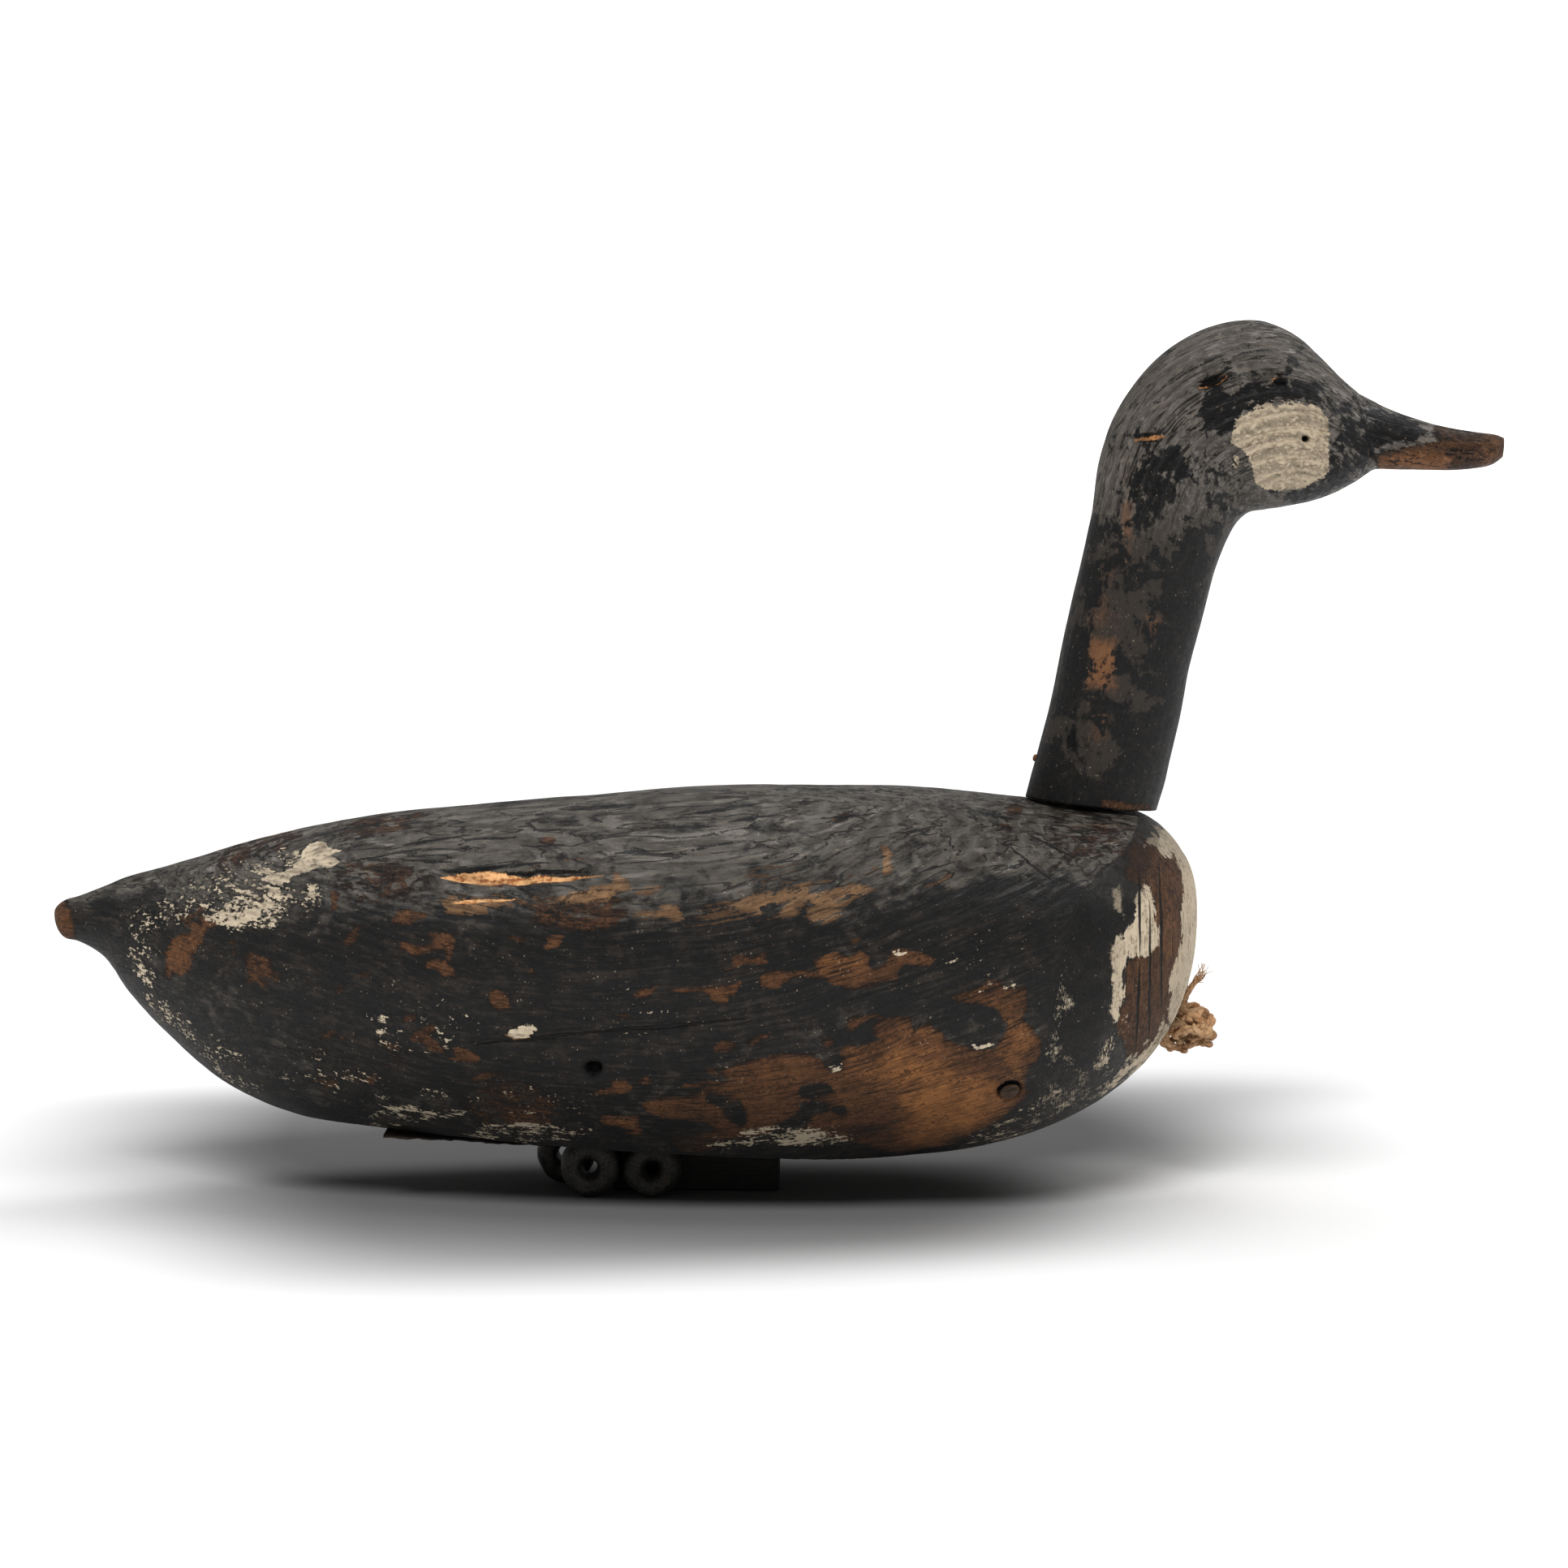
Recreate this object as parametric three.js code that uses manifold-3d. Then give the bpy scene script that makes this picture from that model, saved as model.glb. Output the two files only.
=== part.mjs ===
// A carved and painted wooden goose decoy, about 700 mm from tail to bill, standing on its ballast.
// Units are millimetres. +X is the way the goose looks, +Z is up, and the origin is on the ground
// under the middle of the decoy. The side with -Y is the one that carries the worn spots.
import * as THREE from "three";
import { mergeVertices } from "three/addons/utils/BufferGeometryUtils.js";
import Module from "manifold-3d";

const wasm = await Module();
wasm.setup();

// Driving dimensions of the body
const BODY_LENGTH = 553; // tail end to breast
const BODY_WIDTH = 231;
const BODY_HEIGHT = 178.5; // front end of the flat bottom to the crown of the back
const TAIL_END_ROUND = 8;
const BREAST_TOP_ROUND = 40;
const BREAST_BELLY_ROUND = 136;
const BREAST_SIDE_ROUND = 115;
const BREAST_SQUARENESS = 2.25; // exponent of the breast's rounding, where 2 is an ellipse
const FLAT_TILT = THREE.MathUtils.degToRad(3.2); // the bottom falls towards the breast
const SEAT_TILT = THREE.MathUtils.degToRad(7.2); // so does the seat planed for the neck
const SEAT_DEPTH = 0.2; // how far the seat is planed below the crown

// Driving dimensions of the head and neck
const HEAD_HEIGHT = 232.6; // foot of the neck to the crown of the head
const HEAD_WIDTH = 54;
const NECK_FOOT_TILT = THREE.MathUtils.degToRad(5.7);

// Driving dimensions of what is fixed under and on the body
const WEIGHT_DIAMETER = 29;
const WEIGHT_HOLE = 6.5;
const WEIGHT_SPREAD = 17.5; // from the middle line to a weight's centre
const KEEL_HEIGHT = 28; // at the middle of the keel block
const KEEL_LENGTH = 82;
const KEEL_THICKNESS = 16;
const STRIP_LENGTH = 78;
const STRIP_WIDTH = 46;
const STRIP_THICKNESS = 2.6;
const STRIP_OUTER = 50.5; // from the middle line to the strip's ragged edge
const SIDE_HOLE = 6.5;
const SIDE_HOLE_DEPTH = 22;
const PLUG_LENGTH = 11.4;
const PLUG_WIDTH = 7.4;
const PLUG_POCKET_DEPTH = 4;
const PLUG_TILT = THREE.MathUtils.degToRad(20);
const NAIL_HEAD = 3.6;
const NAIL_SHANK = 1.5;
const NAIL_STANDS_OUT = 1.6;
const EYE_HOLE = 3.4;
const EYE_HOLE_DEPTH = 8;
const ROPE_DIAMETER = 5;
const KNOT_LENGTH = 31;
const KNOT_HEIGHT = 28;
const KNOT_DEPTH = 25;
const TAIL_OF_ROPE = 22;
const LINE_HOLE = 7;
const LINE_HOLE_DEPTH = 22;
const GAP = 0.3; // between pieces that touch

// Table of offsets of the body, as a boat builder would write it. Each row is one station:
// its place along the body from the tail, then the top, the bottom and the half width there.
// The first column is a share of the length, the next two of the height above the front end
// of the flat bottom, and the last of the half width. The ends are rounded afterwards.
const BODY_STATIONS = [
  [0, 0.666, 0.563, 0.082],
  [0.022, 0.685, 0.553, 0.095],
  [0.045, 0.711, 0.509, 0.132],
  [0.063, 0.733, 0.422, 0.18],
  [0.098, 0.763, 0.311, 0.295],
  [0.151, 0.814, 0.174, 0.46],
  [0.222, 0.869, 0.088, 0.632],
  [0.293, 0.906, 0.049, 0.76],
  [0.382, 0.932, 0.003, 0.868],
  [0.471, 0.955, -0.031, 0.94],
  [0.556, 0.978, -0.046, 0.984],
  [0.662, 0.979, -0.044, 1],
  [0.759, 0.974, -0.008, 0.997],
  [0.875, 0.938, 0.011, 0.97],
  [1, 0.905, 0.012, 0.935],
];
const TAIL_POINT = 0.636; // share of the height where the tail's end comes to its middle
const BREAST_POINT = 0.651; // and the same for the breast
const FLAT_FRONT = 0.761; // share of the length where the flat bottom runs out
const CROWN_SQUARENESS = [2.0, 2.45]; // exponent of the back's section, from tail to breast
const BILGE_SQUARENESS = 2.3; // and of the section below the widest line
const SEAT_MIDDLE = 0.908; // share of the length where the neck stands

// Stations of the head and neck, from the foot of the neck to the tip of the bill. Each row has
// a point on the nape, crown and top of the bill, the opposite point on the throat and the bill's
// underside, the half width, and the share of the way from throat to nape where it is widest.
// Points are shares of the height, forward and up from the middle of the neck's foot, and the
// half width is a share of half the head's width.
const HEAD_STATIONS = [
  [-0.136, 0.0136, 0.136, -0.0136, 1.04, 0.5],
  [-0.115, 0.093, 0.157, 0.062, 1.02, 0.5],
  [-0.086, 0.213, 0.182, 0.168, 0.98, 0.5],
  [-0.056, 0.357, 0.202, 0.285, 0.94, 0.5],
  [-0.029, 0.475, 0.229, 0.39, 0.91, 0.5],
  [-0.006, 0.59, 0.257, 0.49, 0.89, 0.5],
  [0.017, 0.724, 0.287, 0.562, 0.89, 0.5],
  [0.06, 0.832, 0.318, 0.599, 0.93, 0.5],
  [0.136, 0.924, 0.354, 0.608, 0.99, 0.47],
  [0.23, 0.981, 0.396, 0.614, 1, 0.43],
  [0.33, 0.999, 0.44, 0.622, 0.98, 0.4],
  [0.405, 0.975, 0.478, 0.634, 0.93, 0.39],
  [0.462, 0.931, 0.51, 0.648, 0.84, 0.4],
  [0.511, 0.884, 0.54, 0.665, 0.7, 0.42],
  [0.546, 0.852, 0.564, 0.681, 0.56, 0.45],
  [0.575, 0.834, 0.583, 0.692, 0.45, 0.48],
  [0.612, 0.816, 0.617, 0.692, 0.41, 0.5],
  [0.668, 0.796, 0.672, 0.691, 0.38, 0.5],
  [0.733, 0.777, 0.735, 0.69, 0.36, 0.5],
  [0.794, 0.768, 0.797, 0.694, 0.34, 0.5],
  [0.829, 0.764, 0.825, 0.701, 0.28, 0.5],
  [0.848, 0.757, 0.846, 0.716, 0.15, 0.5],
];
const BILL_TIP = [0.852, 0.738];
const NECK_SQUARENESS = 2.15;

// Worn spots. A place is a share of the body's length and height, or a share of the head's
// height forward and up from the middle of the neck's foot, like the tables above.
const SPLIT = { at: [0.4125, 0.7701], size: [76, 9, 7], turn: 1.5 };
const SIDE_HOLE_AT = [0.4769, 0.2928];
const PLUG_AT = [0.829, 0.2275];
const EYE_HOLES = [
  [0.37, 0.88],
  [0.424, 0.763],
];
const HEAD_GOUGES = [
  { at: [0.231, 0.884], size: [12.5, 7, 5.5], turn: 18 },
  { at: [0.104, 0.768], size: [13.5, 5, 3.2], turn: -2 },
  { at: [-0.053, 0.145], size: [3.6, 4.5, 11], turn: -12 },
];
const NAIL_AT = 0.094; // share of the head's height up the nape
const LINE_HOLE_AT = 0.327; // share of the body's height
const STRIP_AT = 0.365; // share of the body's length
const WEIGHTS_AT = [
  [0.4705, -1],
  [0.5245, -1],
  [0.446, 1],
  [0.536, 1],
]; // share of the body's length, and the side
const KEEL_AT = 0.562; // share of the body's length

// How finely the carved pieces are cut into facets
const BODY_RINGS = 52;
const BODY_SIDES = 36;
const HEAD_STEPS_PER_STATION = 2;
const HEAD_SIDES = 24;
const WEIGHT_SIDES = 16;
const ROUND_SIDES = 14;

const clamp01 = (value) => Math.min(1, Math.max(0, value));

// A curve through the points (xs, ys), each piece a cubic whose slope at a point is the slope
// between its neighbours.
function smoothTable(xs, ys) {
  const last = xs.length - 1;
  const slope = xs.map((_, i) => {
    const before = Math.max(i - 1, 0);
    const after = Math.min(i + 1, last);
    return (ys[after] - ys[before]) / (xs[after] - xs[before]);
  });
  return (x) => {
    let i = 0;
    while (i < last - 1 && x > xs[i + 1]) i += 1;
    const width = xs[i + 1] - xs[i];
    const t = clamp01((x - xs[i]) / width);
    const a = 2 * t ** 3 - 3 * t ** 2 + 1;
    const b = t ** 3 - 2 * t ** 2 + t;
    const c = t ** 3 - t ** 2;
    return a * ys[i] + (1 - a) * ys[i + 1] + width * (b * slope[i] + c * slope[i + 1]);
  };
}

const column = (table, index) => table.map((row) => row[index]);
const bodyColumn = (index) => smoothTable(column(BODY_STATIONS, 0), column(BODY_STATIONS, index));
const topShare = bodyColumn(1);
const bottomShare = bodyColumn(2);
const widthShare = bodyColumn(3);

// How full the body still is at a distance from one of its ends: 0 at the end, 1 from the
// distance "round" on, along a superellipse.
function fullness(distance, round, squareness) {
  const left = 1 - clamp01(distance / round);
  return Math.max(0, 1 - left ** squareness) ** (1 / squareness);
}

// One section of the body, at a distance x from the tail: its top, bottom, widest height,
// half width and crown exponent, with the ends rounded.
function bodySection(x) {
  const share = x / BODY_LENGTH;
  const fromBreast = BODY_LENGTH - x;
  const tail = fullness(x, TAIL_END_ROUND, 2);
  const point = BODY_HEIGHT * (share < 0.5 ? TAIL_POINT : BREAST_POINT);
  const rounded = (height, round) =>
    point + (height - point) * tail * fullness(fromBreast, round, BREAST_SQUARENESS);
  const top = rounded(BODY_HEIGHT * topShare(share), BREAST_TOP_ROUND);
  const bottom = rounded(BODY_HEIGHT * bottomShare(share), BREAST_BELLY_ROUND);
  const side = fullness(fromBreast, BREAST_SIDE_ROUND, BREAST_SQUARENESS);
  return {
    top,
    bottom,
    widest: (top + bottom) / 2,
    halfWidth: (BODY_WIDTH / 2) * widthShare(share) * tail * side,
    crown: THREE.MathUtils.lerp(...CROWN_SQUARENESS, share),
  };
}

const signedPower = (value, power) => Math.sign(value) * Math.abs(value) ** power;

// The point of the body at a distance x from the tail and an angle round its section, 0 on the
// +Y side and a quarter turn at the top.
function bodyPoint(x, angle) {
  const section = bodySection(x);
  const up = Math.sin(angle);
  const exponent = 2 / (up > 0 ? section.crown : BILGE_SQUARENESS);
  const reach = up > 0 ? section.top - section.widest : section.widest - section.bottom;
  return new THREE.Vector3(
    x,
    section.halfWidth * signedPower(Math.cos(angle), exponent),
    section.widest + reach * signedPower(up, exponent),
  );
}

const headColumns = [0, 1, 2, 3, 4, 5].map((index) =>
  smoothTable(HEAD_STATIONS.map((_, i) => i), column(HEAD_STATIONS, index)),
);

// The point of the head and neck at a station number, which may lie between two stations, and
// an angle round the section, 0 on the +Y side and a quarter turn on the nape.
function headPoint(station, angle) {
  const [napeX, napeZ, throatX, throatZ, width, widest] = headColumns.map((f) => f(station));
  const up = Math.sin(angle);
  const exponent = 2 / NECK_SQUARENESS;
  const along = widest + (up > 0 ? 1 - widest : widest) * signedPower(up, exponent);
  return new THREE.Vector3(
    HEAD_HEIGHT * THREE.MathUtils.lerp(throatX, napeX, along),
    (HEAD_WIDTH / 2) * width * signedPower(Math.cos(angle), exponent),
    HEAD_HEIGHT * THREE.MathUtils.lerp(throatZ, napeZ, along),
  );
}

// The outermost point on the -Y side of a surface that is seen at (x, z) from that side. It looks
// over the whole range of the first parameter, then closer and closer round the best point.
function spotOnSide(surface, from, to, x, z) {
  const LOOKS = 24;
  let best = { miss: Infinity };
  let [u0, u1, v0, v1] = [from, to, Math.PI / 2, (3 * Math.PI) / 2];
  for (let round = 0; round < 7; round += 1) {
    for (let i = 0; i <= LOOKS; i += 1) {
      for (let j = 0; j <= LOOKS; j += 1) {
        const u = THREE.MathUtils.lerp(u0, u1, i / LOOKS);
        const v = THREE.MathUtils.lerp(v0, v1, j / LOOKS);
        const point = surface(u, v);
        const miss = Math.hypot(point.x - x, point.z - z);
        if (miss < best.miss) best = { miss, point, u, v };
      }
    }
    const [du, dv] = [(u1 - u0) / 6, (v1 - v0) / 6];
    [u0, u1] = [Math.max(from, best.u - du), Math.min(to, best.u + du)];
    [v0, v1] = [best.v - dv, best.v + dv];
  }
  return best.point;
}

const lastHeadStation = HEAD_STATIONS.length - 1;
const bodySpot = ([along, up]) =>
  spotOnSide(bodyPoint, 0, BODY_LENGTH, along * BODY_LENGTH, up * BODY_HEIGHT);
const headSpot = ([forward, up]) =>
  spotOnSide(headPoint, 0, lastHeadStation, forward * HEAD_HEIGHT, up * HEAD_HEIGHT);

// A closed surface through rings of points, closed at each end by a fan to one point.
function closedLoft(rings, firstPoint, lastPoint) {
  const sides = rings[0].length;
  const points = [...rings.flat(), firstPoint, lastPoint];
  const [first, last] = [points.length - 2, points.length - 1];
  const index = [];
  for (let i = 0; i < sides; i += 1) {
    const next = (i + 1) % sides;
    index.push(first, next, i);
    for (let ring = 0; ring < rings.length - 1; ring += 1) {
      const a = ring * sides;
      const b = a + sides;
      index.push(a + i, a + next, b + i, a + next, b + next, b + i);
    }
    const end = (rings.length - 1) * sides;
    index.push(last, end + i, end + next);
  }
  return new THREE.BufferGeometry().setFromPoints(points).setIndex(index);
}

// A three.js geometry as a solid, its shared corners joined and its faces pointing out.
function solid(geometry) {
  const bare = geometry.index ? geometry.toNonIndexed() : geometry.clone();
  bare.deleteAttribute("normal");
  bare.deleteAttribute("uv");
  const merged = mergeVertices(bare, 1e-4);
  const triVerts = new Uint32Array(merged.index.array);
  const made = new wasm.Manifold(
    new wasm.Mesh({ numProp: 3, vertProperties: merged.attributes.position.array, triVerts }),
  );
  if (made.volume() > 0) return made;
  for (let i = 0; i < triVerts.length; i += 3) triVerts.subarray(i + 1, i + 3).reverse();
  return new wasm.Manifold(
    new wasm.Mesh({ numProp: 3, vertProperties: merged.attributes.position.array, triVerts }),
  );
}

// A solid back as a geometry that a mesh can show.
function geometryOf(made) {
  const { vertProperties, triVerts } = made.getMesh();
  const geometry = new THREE.BufferGeometry()
    .setAttribute("position", new THREE.BufferAttribute(new Float32Array(vertProperties), 3))
    .setIndex(new THREE.BufferAttribute(new Uint32Array(triVerts), 1))
    .toNonIndexed();
  geometry.computeVertexNormals();
  return geometry;
}

// A geometry turned about +Y by an angle that lowers its +X end, then moved.
function placed(geometry, position, tilt = 0) {
  return geometry.clone().rotateY(tilt).translate(position.x, position.y, position.z);
}

const ellipsoid = ([length, width, height], sides = ROUND_SIDES) =>
  new THREE.SphereGeometry(0.5, sides, Math.ceil(sides / 2)).scale(length, width, height);

// A rod along +Y with the given diameter, from y = 0 to y = length.
const rodAlongY = (diameter, length) =>
  new THREE.CylinderGeometry(diameter / 2, diameter / 2, length, ROUND_SIDES).translate(
    0,
    length / 2,
    0,
  );

// A hollow torn out of a surface at a spot on the -Y side.
function gouge(spot, { size, turn }) {
  const [length, depth, height] = size;
  return solid(placed(ellipsoid([length, 2 * depth, height]), spot, -THREE.MathUtils.degToRad(turn)));
}

// Heights of the planed faces, in the body's own frame
const crownAtSeat = bodySection(SEAT_MIDDLE * BODY_LENGTH).top;
const seatHeight = (x) =>
  crownAtSeat - SEAT_DEPTH - (x - SEAT_MIDDLE * BODY_LENGTH) * Math.tan(SEAT_TILT);
const flatHeight = (x) => (FLAT_FRONT * BODY_LENGTH - x) * Math.tan(FLAT_TILT);

// A block that takes away all of the body beyond a planed face, above it or below it.
function planedAway(x, z, tilt, above) {
  const size = 2 * BODY_LENGTH;
  const block = new THREE.BoxGeometry(size, size, size).translate(0, 0, (above ? 1 : -1) * (size / 2));
  return solid(placed(block, new THREE.Vector3(x, 0, z), tilt));
}

// The hole for the anchor line goes straight back into the breast on the middle line.
const lineHoleZ = LINE_HOLE_AT * BODY_HEIGHT;
function breastFaceAt(z) {
  let [low, high] = [BODY_LENGTH / 2, BODY_LENGTH];
  for (let i = 0; i < 40; i += 1) {
    const middle = (low + high) / 2;
    if (bodySection(middle).bottom < z) low = middle;
    else high = middle;
  }
  return low;
}
const lineHoleX = breastFaceAt(lineHoleZ);

function bodySolid() {
  const rings = [];
  for (let i = 1; i < BODY_RINGS; i += 1) {
    const x = (BODY_LENGTH * (1 - Math.cos((Math.PI * i) / BODY_RINGS))) / 2;
    rings.push(
      Array.from({ length: BODY_SIDES }, (_, j) => bodyPoint(x, (2 * Math.PI * j) / BODY_SIDES)),
    );
  }
  const tailEnd = new THREE.Vector3(0, 0, TAIL_POINT * BODY_HEIGHT);
  const breastEnd = new THREE.Vector3(BODY_LENGTH, 0, BREAST_POINT * BODY_HEIGHT);
  const sideHole = bodySpot(SIDE_HOLE_AT).add(new THREE.Vector3(0, -SIDE_HOLE_DEPTH, 0));
  const lineHole = new THREE.CylinderGeometry(
    LINE_HOLE / 2,
    LINE_HOLE / 2,
    2 * LINE_HOLE_DEPTH,
    ROUND_SIDES,
  ).rotateZ(Math.PI / 2);
  return solid(closedLoft(rings, tailEnd, breastEnd))
    .subtract(planedAway(0, flatHeight(0), FLAT_TILT, false))
    .subtract(planedAway(0, seatHeight(0), SEAT_TILT, true))
    .subtract(gouge(bodySpot(SPLIT.at), SPLIT))
    .subtract(solid(placed(rodAlongY(SIDE_HOLE, 2 * SIDE_HOLE_DEPTH), sideHole)))
    .subtract(plugPocket())
    .subtract(solid(placed(lineHole, new THREE.Vector3(lineHoleX, 0, lineHoleZ))));
}

// The plug's pocket is an oval hole with a flat floor, and the plug sits in it a little askew.
function ovalPrism(length, width, depth) {
  return new THREE.CylinderGeometry(0.5, 0.5, depth, 2 * ROUND_SIDES).scale(length, 1, width);
}
function plugPocket() {
  const pocket = ovalPrism(PLUG_LENGTH, PLUG_WIDTH, 2 * PLUG_POCKET_DEPTH);
  return solid(placed(pocket, bodySpot(PLUG_AT), -PLUG_TILT));
}
function plugSolid() {
  const slack = 2 * GAP;
  const height = PLUG_POCKET_DEPTH - 1.5 * GAP;
  const plug = ovalPrism(PLUG_LENGTH - 4 * slack, PLUG_WIDTH - 2 * slack, height);
  const spot = bodySpot(PLUG_AT);
  spot.y += PLUG_POCKET_DEPTH - GAP - height / 2;
  return solid(placed(plug, spot, -PLUG_TILT));
}

function headSolid() {
  const steps = lastHeadStation * HEAD_STEPS_PER_STATION;
  const rings = Array.from({ length: steps + 1 }, (_, i) =>
    Array.from({ length: HEAD_SIDES }, (_, j) =>
      headPoint(i / HEAD_STEPS_PER_STATION, (2 * Math.PI * j) / HEAD_SIDES),
    ),
  );
  const foot = new THREE.Vector3(0, 0, 0);
  const tip = new THREE.Vector3(BILL_TIP[0] * HEAD_HEIGHT, 0, BILL_TIP[1] * HEAD_HEIGHT);
  const blank = solid(closedLoft(rings, foot, tip));
  const eyes = EYE_HOLES.map((at) => {
    const spot = headSpot(at).add(new THREE.Vector3(0, -EYE_HOLE_DEPTH, 0));
    return solid(placed(rodAlongY(EYE_HOLE, 2 * EYE_HOLE_DEPTH), spot));
  });
  const gouges = HEAD_GOUGES.map((mark) => gouge(headSpot(mark.at), mark));
  return [...eyes, ...gouges, nailHole()].reduce((left, cut) => left.subtract(cut), blank);
}

// The nail stands out of the nape square to it.
const nape = (up) => {
  const heights = column(HEAD_STATIONS, 1);
  return smoothTable(heights.slice(0, 8), column(HEAD_STATIONS, 0).slice(0, 8))(up) * HEAD_HEIGHT;
};
const nailPlace = new THREE.Vector3(nape(NAIL_AT), 0, NAIL_AT * HEAD_HEIGHT);
const napeLean = Math.atan2(nape(NAIL_AT + 0.02) - nape(NAIL_AT - 0.02), 0.04 * HEAD_HEIGHT);
const NAIL_LENGTH = 12;
// A turned profile whose axis points from the nape outwards, that is along -X.
function onNape(profile) {
  const points = profile.map(([radius, out]) => new THREE.Vector2(radius, out));
  const turned = new THREE.LatheGeometry(points, ROUND_SIDES).rotateZ(Math.PI / 2);
  return solid(placed(turned, nailPlace, napeLean));
}
function nailHole() {
  const radius = NAIL_SHANK / 2 + GAP;
  return onNape([[0, -NAIL_LENGTH - GAP], [radius, -NAIL_LENGTH - GAP], [radius, 5], [0, 5]]);
}
function nailSolid() {
  const under = GAP + 0.1;
  return onNape([
    [0, -NAIL_LENGTH],
    [NAIL_SHANK / 2, -NAIL_LENGTH],
    [NAIL_SHANK / 2, under],
    [NAIL_HEAD / 2, under],
    [NAIL_HEAD / 2, NAIL_STANDS_OUT * 0.6],
    [NAIL_HEAD / 4, NAIL_STANDS_OUT],
    [0, NAIL_STANDS_OUT],
  ]);
}

// The keel block stands on the ground, and its top follows the flat bottom.
const keelX = KEEL_AT * BODY_LENGTH;
const bodyLift = KEEL_HEIGHT + GAP - flatHeight(keelX);
function keelSolid() {
  const [back, front] = [keelX - KEEL_LENGTH / 2, keelX + KEEL_LENGTH / 2];
  const topAt = (x) => flatHeight(x) + bodyLift - GAP;
  const side = new THREE.Shape();
  side.moveTo(back, 0);
  side.lineTo(front, 0);
  side.lineTo(front, topAt(front));
  side.lineTo(back, topAt(back));
  side.closePath();
  const block = new THREE.ExtrudeGeometry(side, { depth: KEEL_THICKNESS, bevelEnabled: false });
  return solid(block.translate(0, 0, -KEEL_THICKNESS / 2).rotateX(Math.PI / 2));
}

// A cast weight is a flattened ball with a hole through it from side to side. It stands on the
// ground, just clears the flat bottom, and is cut to lie against the keel block.
function weightSolid([share, side]) {
  const x = share * BODY_LENGTH;
  const height = flatHeight(x + WEIGHT_DIAMETER / 2) + bodyLift - GAP;
  const ball = ellipsoid([WEIGHT_DIAMETER, WEIGHT_DIAMETER, height], WEIGHT_SIDES).rotateX(0);
  const centre = new THREE.Vector3(x, side * WEIGHT_SPREAD, height / 2);
  const hole = rodAlongY(WEIGHT_HOLE, 2 * WEIGHT_DIAMETER).translate(0, -WEIGHT_DIAMETER, 0);
  const block = new THREE.BoxGeometry(4 * WEIGHT_DIAMETER, KEEL_THICKNESS + 2 * GAP, 4 * height);
  return solid(placed(ball, centre))
    .subtract(solid(placed(hole, centre)))
    .subtract(solid(placed(block, new THREE.Vector3(x, 0, 0))));
}

// A thin ragged strip lies under the flat bottom along the edge on the -Y side.
function stripSolid() {
  const x = STRIP_AT * BODY_LENGTH;
  const RAGS = 9;
  const outline = new THREE.Shape();
  const inner = STRIP_WIDTH / 2;
  outline.moveTo(-STRIP_LENGTH / 2, inner);
  outline.lineTo(STRIP_LENGTH / 2, inner);
  for (let i = RAGS; i >= 0; i -= 1) {
    const rag = 1.6 * Math.sin(2.7 * i) + 0.9 * Math.sin(6.1 * i + 1);
    outline.lineTo(STRIP_LENGTH * (i / RAGS - 0.5), -inner + rag);
  }
  outline.closePath();
  const strip = new THREE.ExtrudeGeometry(outline, { depth: STRIP_THICKNESS, bevelEnabled: false });
  const low = flatHeight(x) - GAP / Math.cos(FLAT_TILT) - STRIP_THICKNESS / Math.cos(FLAT_TILT);
  return solid(placed(strip, new THREE.Vector3(x, inner - STRIP_OUTER, low), FLAT_TILT));
}

// The knot of the anchor line lies against the breast, with a short neck in its hole.
const knotCentre = new THREE.Vector3(lineHoleX + 10, -7, lineHoleZ - 1);
function knotSolid() {
  const lump = solid(placed(ellipsoid([KNOT_LENGTH, KNOT_DEPTH, KNOT_HEIGHT], 18), knotCentre));
  const stem = new THREE.CylinderGeometry(
    ROPE_DIAMETER / 2,
    ROPE_DIAMETER / 2,
    LINE_HOLE_DEPTH,
    ROUND_SIDES,
  ).rotateZ(Math.PI / 2);
  const stemPlace = new THREE.Vector3(lineHoleX, 0, lineHoleZ);
  return lump
    .subtract(solid(closedBreast(GAP)))
    .add(solid(placed(stem, stemPlace)));
}

// The breast again, grown by a clearance, to shape what lies against it.
function closedBreast(clearance) {
  const from = BODY_LENGTH * 0.85;
  const RINGS = 40;
  const rings = [];
  for (let i = 0; i < RINGS; i += 1) {
    const x = from + (BODY_LENGTH - from) * Math.sin((Math.PI / 2) * (i / RINGS));
    const ring = Array.from({ length: BODY_SIDES }, (_, j) => {
      const angle = (2 * Math.PI * j) / BODY_SIDES;
      const point = bodyPoint(x, angle);
      const middle = new THREE.Vector3(from, 0, BREAST_POINT * BODY_HEIGHT);
      return point.add(point.clone().sub(middle).setLength(2 * clearance + 0.4));
    });
    rings.push(ring);
  }
  const tip = new THREE.Vector3(BODY_LENGTH + 2 * clearance, 0, BREAST_POINT * BODY_HEIGHT);
  return closedLoft(rings, new THREE.Vector3(from, 0, BREAST_POINT * BODY_HEIGHT), tip);
}

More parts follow.
